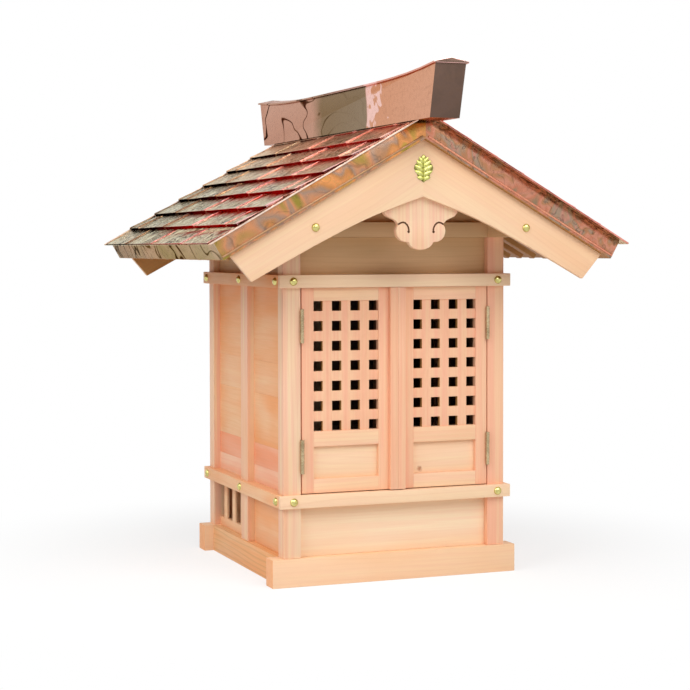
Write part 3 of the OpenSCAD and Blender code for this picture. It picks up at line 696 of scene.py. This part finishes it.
# Node, axis of the grain where it isn't each board's longest, warmth, finish
TIMBER = [
    ("end_sills", 0, 0.5, PALE_WOOD), ("side_sills", 1, 0.75, SILL_WOOD),
    ("corner_posts", 2, 0.08, WOOD), ("middle_posts", 2, 0.1, WOOD),
    ("front_lower_rail", 0, 0.05, PALE_WOOD), ("back_lower_rail", 0, 0.1, PALE_WOOD),
    ("side_lower_rails", 1, 0.3, SIDE_WOOD), ("front_upper_rail", 0, 0.2, PALE_WOOD),
    ("back_upper_rail", 0, 0.2, PALE_WOOD), ("side_upper_rails", 1, 0.6, SIDE_WOOD),
    ("floor_board", 0, 0.4, WOOD), ("front_lower_panel", 0, 0.05, FRONT_LIT_WOOD),
    ("lower_wall_panels", None, 0.4, SIDE_WOOD), ("vent_grilles", None, 0.1, SIDE_WOOD),
    ("frieze_boards", None, 0.6, EAVE_SHADE_WOOD), ("tie_beams", 0, 0.6, EAVE_SHADE_WOOD),
    ("wall_plates", 1, 0.3, EAVE_SHADE_WOOD), ("ridge_beam", 1, 0.3, EAVE_SHADE_WOOD),
    ("gable_boards", 0, 0.48, EAVE_SHADE_WOOD)]


def on_right(face):
    return face.calc_center_median().x > 0


def on_end(face):
    return abs(face.normal.x) > FACING


# A second finish for some faces of a node, and the test that picks them
SECOND_FINISHES = {"corner_posts": (PINK_WOOD, on_right), "end_sills": (END_WOOD, on_end)}


def dress_timber():
    for seed, (node, axis, tone, finish) in enumerate(TIMBER):
        shape = merged_copy(node)
        ease_edges(shape, ARRIS)
        finishes = [finish, INNER_SHADE_WOOD]
        if node in SECOND_FINISHES:
            second, chosen = SECOND_FINISHES[node]
            finishes.append(second)
            for face in shape.faces:
                face.material_index = 2 if chosen(face) else 0
        shade_inside(shape)
        mesh = to_mesh(shape, "dressed_" + node)
        mark_grain(mesh, seed, tone, axis=axis)
        show(mesh, "dressed_" + node, finishes, SHRINE, [node])


def wall_boards(node, axis, seed):
    """Wall panels as level boards laid edge to edge, each with its own eased edges and tone."""
    plain = to_mesh(merged_copy(node), node)
    labels = island_labels(plain)
    places = np.array([vertex.co for vertex in plain.vertices])
    shape = bmesh.new()
    base = places[:, 2].min()
    scale = (places[:, 2].max() - base) / sum(board[0] for board in WALL_BOARDS)
    joints = [base]
    for board in WALL_BOARDS:
        joints.append(joints[-1] + board[0] * scale)
    for label in np.unique(labels):
        own = places[labels == label]
        low, high = own.min(0), own.max(0)
        for foot, top in zip(joints, joints[1:]):
            add_block(shape, (low[0], low[1], foot + BOARD_GAP / 2), (high[0], high[1], top - BOARD_GAP / 2))
    ease_edges(shape, BOARD_ARRIS)
    for face in shape.faces:
        board = np.searchsorted(joints, face.calc_center_median().z) - 1
        face.material_index = 2 if WALL_BOARDS[board][2] else 0
    shade_inside(shape)
    mesh = to_mesh(shape, "boarded_" + node)
    mark_grain(mesh, seed, axis=axis)
    warmth = [WALL_BOARDS[np.searchsorted(joints, vertex.co.z) - 1][1] for vertex in mesh.vertices]
    mesh.attributes["tone"].data.foreach_set("value", warmth)
    show(mesh, "boarded_" + node, [SIDE_WOOD, INNER_SHADE_WOOD, ROSY_WOOD], SHRINE, [node])


# Roof

def slope_turn(side):
    """From slope coordinates (down the slope, along the eave, off the roof) to the part's frame."""
    down = Vector((side * math.cos(ROOF_PITCH), 0, -math.sin(ROOF_PITCH)))
    along = Vector((0, side, 0))
    off = Vector((side * math.sin(ROOF_PITCH), 0, math.cos(ROOF_PITCH)))
    turn = Matrix((down, along, off)).transposed().to_4x4()
    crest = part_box("left_roof_sheet")[1].z - SHEET_THICKNESS / math.cos(ROOF_PITCH)
    return Matrix.Translation((0, 0, crest)) @ turn


SHEET_LOW, SHEET_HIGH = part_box("left_roof_sheet")
GABLE_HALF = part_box("left_roof_slab")[1].y
RIM_HALF = SHEET_HIGH.y
COURSE_HALF = GABLE_HALF + COURSE_REACH
SLOPE_LENGTH = (-SHEET_LOW.x - SHEET_THICKNESS * math.sin(ROOF_PITCH)) / math.cos(ROOF_PITCH)
COURSE_LENGTH = (SLOPE_LENGTH - TOP_COURSE_LENGTH) / (COURSE_COUNT - 1)


def shingle_pattern():
    """One shingle of unit width: a tilted tray with a folded nose and a flat seam along each side."""
    high = COURSE_BED + COURSE_STEP
    end = COURSE_LENGTH
    middle = REFLECTION_SHARE * end
    outline = [(0, SHINGLE_ROOT), (0, COURSE_BED), (middle, COURSE_BED + REFLECTION_SHARE * COURSE_STEP)]
    outline += [(end + back, high + up) for back, up in SHINGLE_NOSE]
    outline.append((end + SHINGLE_NOSE[-1][0], SHINGLE_ROOT))
    seam = [(0, SHINGLE_ROOT), (0, COURSE_BED + SEAM_HEIGHT)]
    seam += [(end + back, high + up) for back, up in SEAM_NOSE]
    seam.append((end - SEAM_SETBACK, SHINGLE_ROOT))
    shape = bmesh.new()
    riser = shape.faces.layers.float.new("riser")
    hem = shape.faces.layers.float.new("hem")
    nose_reflection = shape.verts.layers.float.new("nose_reflection")
    add_outline(shape, outline, -0.5, 0.5)
    # Vertices at the root carry the full painted reflection of the nose above
    for vert in shape.verts:
        vert[nose_reflection] = 1.0 if vert.co.x < middle / 2 else 0.0
    # Nose and end faces take the painted red reflection, the nose's sloped edge half the seams' painted
    # highlight
    for face in shape.faces:
        if face.normal.x > FACING or abs(face.normal.y) > FACING:
            face[riser] = 1.0
        elif face.normal.x > 0.2:
            face[hem] = 0.5
    tray = set(shape.faces)
    add_outline(shape, seam, -0.5, SEAM_SHARE - 0.5)
    add_outline(shape, seam, 0.5 - SEAM_SHARE, 0.5)
    # The seams take the full painted highlight
    for face in shape.faces:
        if face not in tray:
            face[hem] = 1.0
    return add_object("shingle_pattern", to_mesh(shape, "shingle_pattern"))


def shingle_tree():
    tree, given, leave = new_tree("copper_courses", [
        ("Shingle", "Object"), ("Courses", "Int"), ("Course Length", "Float"), ("Top Course", "Float"),
        ("Across", "Int"), ("Shingle Width", "Float"), ("Half Width", "Float"), ("Tilt", "Float"),
        ("Low Step", "Float"), ("Seed", "Int"), ("Material", "Material")])

    def work_out(operation, first, second=0.0, third=0.0):
        return calc(tree, operation, first, second, third)

    count = work_out("MULTIPLY", given["Courses"], given["Across"])
    points = add_node(tree, "GeometryNodePoints", {"Count": count}).outputs[0]
    index = add_node(tree, "GeometryNodeInputIndex").outputs[0]
    course = work_out("FLOOR", work_out("DIVIDE", work_out("ADD", index, 0.5), given["Across"]))
    column = work_out("SUBTRACT", index, work_out("MULTIPLY", course, given["Across"]))
    odd = work_out("MODULO", course, 2.0)
    middle = work_out("MULTIPLY", given["Across"], 0.5)
    start = work_out("SUBTRACT", work_out("MULTIPLY_ADD", odd, 0.5, column), middle)
    start = work_out("MULTIPLY", start, given["Shingle Width"])
    end = work_out("ADD", start, given["Shingle Width"])
    less = work_out("MULTIPLY", given["Half Width"], -1.0)
    start = work_out("MINIMUM", work_out("MAXIMUM", start, less), given["Half Width"])
    end = work_out("MINIMUM", work_out("MAXIMUM", end, less), given["Half Width"])
    width = work_out("SUBTRACT", end, start)
    is_top = work_out("COMPARE", course, 0.0, 0.1)
    last = work_out("SUBTRACT", given["Courses"], 1.0)
    is_eave = work_out("COMPARE", course, last, 0.1)
    low = work_out("MAXIMUM", is_top, is_eave)
    above = work_out("SUBTRACT", course, 1.0)
    upper_end = work_out("MULTIPLY_ADD", above, given["Course Length"], given["Top Course"])
    upper_end = work_out("MULTIPLY", upper_end, work_out("SUBTRACT", 1.0, is_top))
    top_share = work_out("DIVIDE", given["Top Course"], given["Course Length"])
    long = work_out("MULTIPLY_ADD", is_top, work_out("SUBTRACT", top_share, 1.0), 1.0)
    tall = work_out("MULTIPLY_ADD", low, work_out("SUBTRACT", given["Low Step"], 1.0), 1.0)
    place = add_node(tree, "ShaderNodeCombineXYZ", {
        "X": upper_end, "Y": work_out("MULTIPLY", work_out("ADD", start, end), 0.5)}).outputs[0]
    set_points = add_node(tree, "GeometryNodeSetPosition", {
        "Geometry": points, "Position": place}).outputs[0]
    size = add_node(tree, "ShaderNodeCombineXYZ", {"X": long, "Y": width, "Z": tall}).outputs[0]
    wobble = add_node(tree, "FunctionNodeRandomValue", {
        "Min": [-most for most in SHINGLE_WOBBLE], "Max": SHINGLE_WOBBLE, "Seed": given["Seed"]},
        data_type="FLOAT_VECTOR").outputs["Value"]
    lean = add_node(tree, "ShaderNodeCombineXYZ", {"X": given["Tilt"]}).outputs[0]
    lean = add_node(tree, "ShaderNodeVectorMath", {0: lean, 1: wobble}, operation="ADD").outputs[0]
    turn = add_node(tree, "FunctionNodeEulerToRotation", {"Euler": lean}).outputs[0]
    shown = add_node(tree, "FunctionNodeCompare", {"A": width, "B": 1 * MM}, operation="GREATER_THAN")
    source = add_node(tree, "GeometryNodeObjectInfo", {"Object": given["Shingle"], "As Instance": True})
    laid = add_node(tree, "GeometryNodeInstanceOnPoints", {
        "Points": set_points, "Selection": shown.outputs[0], "Instance": source.outputs["Geometry"],
        "Rotation": turn, "Scale": size}).outputs[0]
    chance = add_node(tree, "FunctionNodeRandomValue", {"Min": 0.0, "Max": 1.0, "Seed": given["Seed"]},
                      data_type="FLOAT")
    laid = add_node(tree, "GeometryNodeStoreNamedAttribute", {
        "Geometry": laid, "Name": "tone", "Value": live_output(chance)},
        data_type="FLOAT", domain="INSTANCE").outputs[0]
    finish_tree(tree, laid, given["Material"], leave)
    return tree


def roof_sheets():
    pattern = shingle_pattern()
    tree = shingle_tree()
    for side, word in SIDES:
        values = {
            "Shingle": pattern, "Courses": COURSE_COUNT, "Course Length": COURSE_LENGTH,
            "Top Course": TOP_COURSE_LENGTH, "Across": SHINGLES_ACROSS, "Shingle Width": SHINGLE_WIDTH,
            "Half Width": COURSE_HALF, "Tilt": -side * SHINGLE_LAP, "Low Step": LOW_STEP_SHARE,
            "Seed": SHINGLE_SEED + side, "Material": SHINGLE_COPPER}
        courses = grow(tree, word + "_courses", values)
        under = bmesh.new()
        lip_half = RIM_HALF - LIP_WIDTH
        sheet_half = RIM_HALF - LIP_WIDTH / 2
        add_block(under, (0, -sheet_half, 0), (SLOPE_LENGTH, sheet_half, UNDERSHEET))
        sheet = set(under.faces)
        add_block(under, (0, lip_half, 0), (SLOPE_LENGTH, RIM_HALF, LIP_HEIGHT))
        add_block(under, (0, -RIM_HALF, 0), (SLOPE_LENGTH, -lip_half, LIP_HEIGHT))
        # The lips take the lip's paint: a painted highlight
        for face in under.faces:
            face.material_index = 0 if face in sheet else 1
        ease_edges(under, LIP_ARRIS)
        under_mesh = to_mesh(under, word + "_undersheet")
        mesh = join_meshes([courses, under_mesh], word + "_copper_courses")
        mesh.transform(slope_turn(side))
        show(mesh, word + "_copper_courses", [SHINGLE_COPPER, LIP_HIGHLIGHTS[word]], SHRINE,
             [word + "_roof_sheet"])
    bpy.data.objects.remove(pattern)


def bead_tree():
    tree, given, leave = new_tree("rolled_bead", [
        ("Start", "Vector"), ("End", "Vector"), ("Radius", "Float"), ("Material", "Material")])
    line = add_node(tree, "GeometryNodeCurvePrimitiveLine", {"Start": given["Start"], "End": given["End"]})
    round_edge = add_node(tree, "GeometryNodeCurvePrimitiveCircle", {
        "Resolution": 12, "Radius": given["Radius"]})
    bead = add_node(tree, "GeometryNodeCurveToMesh", {
        "Curve": line.outputs[0], "Profile Curve": round_edge.outputs[0], "Fill Caps": True})
    finish_tree(tree, bead.outputs[0], given["Material"], leave)
    return tree


def roof_slabs(tree):
    """The clad slabs: copper bands on the gable and eave faces, boards underneath in painted shade, a rolled
    bead below.
    """
    for side, word in SIDES:
        shape = merged_copy(word + "_roof_slab")
        ease_edges(shape, ARRIS)
        for face in shape.faces:
            if face.normal.z < -0.7:
                face.material_index = 2
            elif abs(face.normal.y) > FACING:
                face.material_index = 0
            else:
                face.material_index = 1
        mesh = to_mesh(shape, word + "_clad_slab")
        mark_grain(mesh, SLAB_SEED + side, 0.8, 0.0, 1)
        show(mesh, word + "_clad_slab", [BANDS[word], EAVE_COPPER, UNDER_ROOF_SHADE_WOOD], SHRINE,
             [word + "_roof_slab"])
        low_edge = BEAD_RISE - SLAB_THICKNESS
        bead_end = SLOPE_LENGTH - EAVE_DRIP - BEAD_SETBACK
        beads = []
        for face in (-GABLE_HALF, GABLE_HALF):
            values = {"Start": (BEAD_START, face, low_edge), "End": (bead_end, face, low_edge),
                      "Radius": BEAD_RADIUS, "Material": BEADS[word]}
            beads.append(grow(tree, word + "_bead", values))
        mesh = join_meshes(beads, word + "_beads")
        mesh.transform(slope_turn(side))
        show(mesh, word + "_beads", [BEADS[word]], SHRINE)


def rafters():
    for side, word in SIDES:
        node = word + "_rafters"
        shape = merged_copy(node)
        ease_edges(shape, FINE_ARRIS)
        mesh = to_mesh(shape, "dressed_" + node)
        mark_grain(mesh, RAFTER_SEED + side, 0.6, 0.2, 0, slope_turn(side).inverted())
        # The rafters take dark wood as painted shade under the roof
        show(mesh, "dressed_" + node, [UNDER_ROOF_SHADE_WOOD], SHRINE, [node])


def bargeboards():
    """The gable boards along the slopes, with painted shade on the face that looks under the roof."""
    for side, word in SIDES:
        node = word + "_bargeboards"
        shape = merged_copy(node)
        ease_edges(shape, ARRIS)
        for face in shape.faces:
            inward = -math.copysign(1, face.calc_center_median().y)
            face.material_index = 1 if face.normal.y * inward > FACING else 0
        mesh = to_mesh(shape, "dressed_" + node)
        mark_grain(mesh, BARGE_SEED + side, 0.35, 0.08, 0, slope_turn(side).inverted())
        show(mesh, "dressed_" + node, [PALE_WOOD, UNDER_ROOF_SHADE_WOOD], SHRINE, [node])


def ridge():
    for node in ("ridge_box", "ridge_cap"):
        shape = merged_copy(node)
        hem = shape.faces.layers.float.new("hem")
        folds = ease_edges(shape, RIDGE_FOLD)
        for face in shape.faces:
            face.material_index = 1 if abs(face.normal.y) > 0.8 else 0
        # The rounded folds take part of the seams' painted highlight
        for face in folds:
            face.material_index = 0
            face[hem] = FOLD_SHINE
        mesh = to_mesh(shape, "clad_" + node)
        show(mesh, "clad_" + node, [RIDGE_COPPER, RIDGE_END_COPPER], SHRINE, [node])


# Gable trim

# One scroll line as millimetres across and up, from the outer end to the eye
SCROLL = [(40, 543.6), (36.5, 545.6), (33, 547.6), (29, 548.5), (25.5, 547.4), (22.6, 544.6), (20.6, 540.8),
          (19.8, 537.2), (20.2, 534.6)]
SCROLL_RADIUS = 1.4 * MM
SCROLL_EYE = 2.1 * MM


def scroll_cutter():
    """A round bar along each scroll line, with a ball at the eye, to cut the grooves with."""
    low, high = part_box("pendants")
    path = bpy.data.curves.new("scroll_lines", "CURVE")
    path.dimensions = "3D"
    path.bevel_depth = SCROLL_RADIUS
    path.bevel_resolution = 3
    path.use_fill_caps = True
    eyes = bmesh.new()
    for face in (low.y, high.y):
        for side in (-1, 1):
            line = path.splines.new("POLY")
            line.points.add(len(SCROLL) - 1)
            for point, (across, up) in zip(line.points, SCROLL):
                point.co = (side * across * MM, face, up * MM, 1)
            across, up = SCROLL[-1]
            spot = Matrix.Translation((side * across * MM, face, up * MM))
            bmesh.ops.create_uvsphere(eyes, u_segments=16, v_segments=10, radius=SCROLL_EYE, matrix=spot)
    bars = add_object("scroll_bars", path)
    graph = bpy.context.evaluated_depsgraph_get()
    bar_mesh = bpy.data.meshes.new_from_object(bars.evaluated_get(graph), depsgraph=graph)
    bpy.data.objects.remove(bars)
    cutters = []
    for name, mesh in (("scroll_bars", bar_mesh), ("scroll_eyes", to_mesh(eyes, "scroll_eyes"))):
        mesh.materials.clear()
        mesh.materials.append(GROOVE)
        cutters.append(add_object(name, mesh))
    return cutters


def pendants():
    shape = merged_copy("pendants")
    ease_edges(shape, ARRIS)
    mesh = to_mesh(shape, "pendant_blank")
    mesh.materials.append(WOOD)
    blank = add_object("pendant_blank", mesh)
    cutters = scroll_cutter()
    for cutter in cutters:
        cut = blank.modifiers.new(cutter.name, "BOOLEAN")
        cut.object = cutter
        cut.operation = "DIFFERENCE"
        cut.solver = "EXACT"
        cut.material_mode = "TRANSFER"
    graph = bpy.context.evaluated_depsgraph_get()
    carved = bpy.data.meshes.new_from_object(blank.evaluated_get(graph), depsgraph=graph)
    for passing in [blank] + cutters:
        bpy.data.objects.remove(passing)
    carved.set_sharp_from_angle(angle=SHARP_ANGLE)
    mark_grain(carved, PENDANT_SEED, 0.1, 0.05, 2, as_one=True)
    show(carved, "carved_pendants", [WOOD, GROOVE], SHRINE, ["pendants"])


LEAF_GROUND = 1 * MM
LEAF_RELIEF = 2 * MM
LEAF_ARRIS = 0.25 * MM
RIB_OUTLINE = [(-1.0 * MM, -19 * MM), (1.0 * MM, -19 * MM), (0.5 * MM, 15 * MM), (-0.5 * MM, 15 * MM)]
RIB_SINK = 0.3 * MM
GILT_RISE = 0.2 * MM

# Leaflets: height of the root, length and width in millimetres, angle in degrees
LEAF_PAIRS = [(-15.5, 11.5, 5.6, 14), (-10.0, 15.8, 6.2, 24), (-4.0, 16.8, 6.4, 31), (2.0, 15.5, 6.2, 39),
              (7.5, 12.2, 5.6, 51)]
LEAF_TIP = (11.8, 8.6, 6.0, 90)


def leaflet_pattern():
    """A leaflet of unit length, width and height: a pointed oval that swells to a keel."""
    shape = bmesh.new()
    rows = [(0.0, 0.0), (0.12, 0.32), (0.3, 0.5), (0.55, 0.5), (0.8, 0.3), (1.0, 0.0)]
    sides = {}
    for turn in (-1, 0, 1):
        for place, half in rows:
            lift = 0.0 if turn else math.sin(math.pi * (0.1 + 0.85 * place))
            if half or turn == 0:
                sides[turn, place] = shape.verts.new((place, turn * half, lift))
    for turn in (-1, 1):
        for (place, half), (after, after_half) in zip(rows, rows[1:]):
            corners = [sides[0, place]]
            if half:
                corners.append(sides[turn, place])
            if after_half:
                corners.append(sides[turn, after])
            corners.append(sides[0, after])
            shape.faces.new(corners if turn < 0 else corners[::-1])
    for face in shape.faces:
        face.smooth = True
    return add_object("leaflet_pattern", to_mesh(shape, "leaflet_pattern"))


def leaflet_tree():
    tree, given, leave = new_tree("leaf_spray", [
        ("Places", "Geometry"), ("Leaflet", "Object"), ("Relief", "Float"), ("Material", "Material")])

    def own(name):
        made = add_node(tree, "GeometryNodeInputNamedAttribute", {"Name": name}, data_type="FLOAT_VECTOR")
        return live_output(made)

    source = add_node(tree, "GeometryNodeObjectInfo", {"Object": given["Leaflet"], "As Instance": True})
    turn = add_node(tree, "FunctionNodeEulerToRotation", {"Euler": own("turn")}).outputs[0]
    height = add_node(tree, "ShaderNodeCombineXYZ", {"X": 1.0, "Y": 1.0, "Z": given["Relief"]}).outputs[0]
    size = add_node(tree, "ShaderNodeVectorMath", {0: own("size"), 1: height}, operation="MULTIPLY")
    laid = add_node(tree, "GeometryNodeInstanceOnPoints", {
        "Points": given["Places"], "Instance": source.outputs["Geometry"], "Rotation": turn,
        "Scale": size.outputs[0]})
    finish_tree(tree, laid.outputs[0], given["Material"], leave)
    return tree


def leaf_ornament():
    """A flat ground of the ornament's outline, a rib, and leaflets in pairs that rise from it."""
    low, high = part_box("gable_ornament")
    middle = (low.z + high.z) / 2
    ground_face = high.y - LEAF_GROUND
    shape = merged_copy("gable_ornament")
    for vert in shape.verts:
        if vert.co.y < ground_face:
            vert.co.y = ground_face
    rib = [(across, middle + up) for across, up in RIB_OUTLINE]
    add_outline(shape, rib, low.y + RIB_SINK, ground_face)
    ease_edges(shape, LEAF_ARRIS)
    for face in shape.faces:
        spot = face.calc_center_median()
        face.material_index = 0 if spot.y < ground_face - GILT_RISE else 1
    spots = []
    for up, long, wide, rise in LEAF_PAIRS:
        for side in (-1, 1):
            angle = rise if side > 0 else 180 - rise
            spots.append((up, long, wide, angle))
    spots.append(LEAF_TIP)
    places = bpy.data.meshes.new("leaflet_places")
    places.from_pydata([(0, ground_face, middle + up * MM) for up, long, wide, angle in spots], [], [])
    face_front = Matrix.Rotation(math.pi / 2, 4, "X")
    turns = [(face_front @ Matrix.Rotation(math.radians(spot[3]), 4, "Z")).to_euler() for spot in spots]
    sizes = [(long * MM, wide * MM, 1.0) for up, long, wide, angle in spots]
    for name, values in (("turn", turns), ("size", sizes)):
        layer = places.attributes.new(name, "FLOAT_VECTOR", "POINT")
        layer.data.foreach_set("vector", np.array(values, float).ravel())
    pattern = leaflet_pattern()
    values = {"Leaflet": pattern, "Relief": LEAF_RELIEF, "Material": GILT}
    leaflets = grow(leaflet_tree(), "leaflets", values, places)
    bpy.data.objects.remove(pattern)
    mesh = join_meshes([leaflets, to_mesh(shape, "leaf_ground")], "gilt_leaf")
    show(mesh, "gilt_leaf", [GILT, GILT_GROUND], SHRINE, ["gable_ornament"])


# Nails

def nail_tree():
    tree, given, leave = new_tree("dome_nails", [
        ("Places", "Geometry"), ("Radius", "Float"), ("Height", "Float"), ("Material", "Material")])
    ball = add_node(tree, "GeometryNodeMeshUVSphere", {
        "Segments": 20, "Rings": 12, "Radius": 1.0}).outputs[0]
    height = split(tree, add_node(tree, "GeometryNodeInputPosition").outputs[0])[2]
    below = calc(tree, "LESS_THAN", height, -0.01)
    dome = add_node(tree, "GeometryNodeDeleteGeometry", {"Geometry": ball, "Selection": below}).outputs[0]
    facing = add_node(tree, "GeometryNodeInputNamedAttribute", {"Name": "facing"}, data_type="FLOAT_VECTOR")
    turn = add_node(tree, "FunctionNodeAlignRotationToVector", {"Vector": live_output(facing)}, axis="Z")
    size = add_node(tree, "ShaderNodeCombineXYZ", {
        "X": given["Radius"], "Y": given["Radius"], "Z": given["Height"]}).outputs[0]
    set_in = add_node(tree, "GeometryNodeInstanceOnPoints", {
        "Points": given["Places"], "Instance": dome, "Rotation": turn.outputs[0], "Scale": size}).outputs[0]
    smooth = add_node(tree, "GeometryNodeSetShadeSmooth", {"Geometry": set_in}).outputs[0]
    finish_tree(tree, smooth, given["Material"], leave)
    return tree


def nails():
    rail_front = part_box("front_lower_rail")[0].y
    rail_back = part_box("back_lower_rail")[1].y
    side_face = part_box("side_lower_rails")[1].x
    board_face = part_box("left_bargeboards")[1].y
    spots = []
    for node in ("front_lower_rail", "front_upper_rail"):
        z = sum(corner.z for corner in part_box(node)) / 2
        for x in (-NAIL_ACROSS, NAIL_ACROSS):
            spots.append(((x, rail_front, z), (0, -1, 0)))
        for x in (-NAIL_ACROSS, 0, NAIL_ACROSS):
            spots.append(((x, rail_back, z), (0, 1, 0)))
        for side in (-1, 1):
            for y in (-NAIL_ALONG, 0, NAIL_ALONG):
                spots.append(((side * side_face, y, z), (side, 0, 0)))
    for end in (-1, 1):
        for x in (-NAIL_ACROSS, NAIL_ACROSS):
            spots.append(((x, end * board_face, BOARD_NAIL_UP), (0, end, 0)))
    places = bpy.data.meshes.new("nail_places")
    places.from_pydata([spot for spot, facing in spots], [], [])
    facings = np.array([facing for spot, facing in spots], float)
    places.attributes.new("facing", "FLOAT_VECTOR", "POINT").data.foreach_set("vector", facings.ravel())
    values = {"Radius": NAIL_RADIUS, "Height": NAIL_HEIGHT, "Material": BRASS}
    mesh = grow(nail_tree(), "dome_nails", values, places)
    show(mesh, "dome_nails", [BRASS], SHRINE)


# Doors

def darken_holes(shape):
    """Gives the walls of the lattice's holes the second material, dark wood as painted shade."""
    for face in shape.faces:
        if abs(face.normal.y) < FACING:
            face.material_index = 1


def doors():
    """Each door as jointed stiles and rails, with a lattice, a panel and half of the meeting strip."""
    for word, body in DOORS.items():
        low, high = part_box(word + "_door_frame")
        high.z += HEAD_FIT
        if word == "left":
            low.x -= EDGE_FIT
        else:
            high.x += EDGE_FIT
        hole_low, hole_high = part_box(word + "_door_lattice")
        panel_low, panel_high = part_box(word + "_door_panel")
        seed = DOOR_SEED + len(word)
        shape = bmesh.new()
        add_block(shape, low, (hole_low.x, high.y, high.z))
        add_block(shape, (hole_high.x, low.y, low.z), high)
        add_block(shape, (hole_low.x, low.y, low.z), (hole_high.x, high.y, panel_low.z))
        add_block(shape, (hole_low.x, low.y, panel_high.z), (hole_high.x, high.y, hole_low.z))
        add_block(shape, (hole_low.x, low.y, hole_high.z), (hole_high.x, high.y, high.z))
        for face in shape.faces:
            start = min(vert.co.x for vert in face.verts)
            face.material_index = 1 if hole_low.x - MM < start < hole_high.x - MM else 0
        everything = shape.verts[:] + shape.edges[:] + shape.faces[:]
        bmesh.ops.bisect_plane(shape, geom=everything, plane_co=(0, hole_high.y, 0), plane_no=(0, 1, 0))
        # Faces behind the lattice's plane, beside its holes, take dark wood as painted shade
        for face in shape.faces:
            spot = face.calc_center_median()
            beside = hole_low.x - MM < spot.x < hole_high.x + MM
            behind = spot.y > hole_high.y and abs(face.normal.y) < FACING
            if behind and beside and spot.z > panel_low.z:
                face.material_index = 2
        ease_edges(shape, JOINT_ARRIS)
        mesh = to_mesh(shape, word + "_door_joinery")
        mark_grain(mesh, seed, 0.2, 0.15)
        show(mesh, word + "_door_joinery", [PINK_WOOD, RAIL_WOOD, INNER_SHADE_WOOD], body,
             [word + "_door_frame"])
        panel_finish = KNOTTY_WOOD if word == "right" else PALE_WOOD
        for node, axis, finish in (("_door_lattice", 2, PINK_WOOD), ("_door_panel", 0, panel_finish),
                                   ("_meeting_strip", 2, PINK_WOOD)):
            shape = merged_copy(word + node)
            if node == "_door_lattice":
                darken_holes(shape)
            elif node == "_meeting_strip":
                strip_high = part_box(word + node)[1]
                for vert in shape.verts:
                    if vert.co.z > strip_high.z - JOINT_ARRIS:
                        vert.co.z += HEAD_FIT
                    if word == "left" and vert.co.x > strip_high.x - JOINT_ARRIS:
                        vert.co.x += STRIP_FIT
            ease_edges(shape, JOINT_ARRIS)
            mesh = to_mesh(shape, "dressed_" + word + node)
            mark_grain(mesh, seed + axis, 0.15, 0.1, axis)
            finishes = [finish, UNDER_ROOF_SHADE_WOOD] if node == "_door_lattice" else [finish]
            show(mesh, "dressed_" + word + node, finishes, body, [word + node])


def hinges():
    for node in ("post_hinges", "left_door_hinges", "right_door_hinges"):
        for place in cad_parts[node].material_slots:
            place.material = STEEL


# Stage

def lamp(name, place, aim, size, power):
    data = bpy.data.lights.new(name, "AREA")
    data.shape = "RECTANGLE"
    data.size = size[0]
    data.size_y = size[1]
    data.energy = power
    direction = Vector(aim) - Vector(place)
    turn = direction.to_track_quat("-Z", "Y").to_matrix().to_4x4()
    add_object(name, data).matrix_world = Matrix.Translation(place) @ turn


def seen_directly(tree):
    """1 for the rays that show the background itself, 0 for those that light the shrine."""
    path = add_node(tree, "ShaderNodeLightPath").outputs
    direct = calc(tree, "MAXIMUM", path["Is Camera Ray"], path["Is Glossy Ray"])
    return calc(tree, "MAXIMUM", direct, path["Is Transmission Ray"])


def studio_floor():
    """A pale floor that keeps the shadow near the shrine, stays dark under it and fades to white around."""
    shape = bmesh.new()
    bmesh.ops.create_grid(shape, x_segments=1, y_segments=1, size=FLOOR_HALF)
    mesh = to_mesh(shape, "studio_floor")
    floor = add_object("studio_floor", mesh)
    material = bpy.data.materials.new("pale_floor")
    material.use_nodes = True
    tree = material.node_tree
    tree.nodes.clear()
    place = object_place(tree)
    reach = add_node(tree, "ShaderNodeVectorMath", {0: place}, operation="LENGTH").outputs["Value"]
    matt = add_node(tree, "ShaderNodeBsdfDiffuse", {"Color": FLOOR_GREY}).outputs[0]
    shadow = add_node(tree, "ShaderNodeBsdfDiffuse", {"Color": SHADOW_GREY}).outputs[0]
    parts = split(tree, place)
    aside = calc(tree, "ABSOLUTE", parts["X"])
    inward = calc(tree, "MAXIMUM", aside, calc(tree, "ABSOLUTE", parts["Y"]))
    glow = remap(tree, inward, INSIDE_HALF_WIDTH, INSIDE_HALF_DEPTH, 0.0, SHADOW_LIFT)
    lift = add_node(tree, "ShaderNodeEmission", {"Color": WHITE, "Strength": glow}).outputs[0]
    near = add_node(tree, "ShaderNodeAddShader", {0: shadow, 1: lift}).outputs[0]
    white = add_node(tree, "ShaderNodeEmission", {"Color": WHITE, "Strength": 1.0}).outputs[0]
    fade = remap(tree, reach, *SHADOW_REACH, smooth=True)
    seen = add_node(tree, "ShaderNodeMixShader", {0: fade, 1: near, 2: white}).outputs[0]
    surface = add_node(tree, "ShaderNodeMixShader", {0: seen_directly(tree), 1: matt, 2: seen}).outputs[0]
    add_node(tree, "ShaderNodeOutputMaterial", {"Surface": surface})
    mesh.materials.append(material)


def studio_world():
    world = bpy.data.worlds.new("white_studio")
    bpy.context.scene.world = world
    world.use_nodes = True
    tree = world.node_tree
    tree.nodes.clear()
    strength = remap(tree, seen_directly(tree), 0.0, 1.0, SKY_LIGHT, 1.0)
    sky = add_node(tree, "ShaderNodeBackground", {"Color": WHITE, "Strength": strength}).outputs[0]
    add_node(tree, "ShaderNodeOutputWorld", {"Surface": sky})


place_camera()
dress_timber()
for wall in WALLS:
    wall_boards(*wall)
roof_sheets()
roof_slabs(bead_tree())
rafters()
bargeboards()
ridge()
pendants()
leaf_ornament()
nails()
doors()
hinges()
studio_floor()
studio_world()
for softbox in LAMPS:
    lamp(*softbox)

bpy.context.scene.view_settings.view_transform = "Standard"
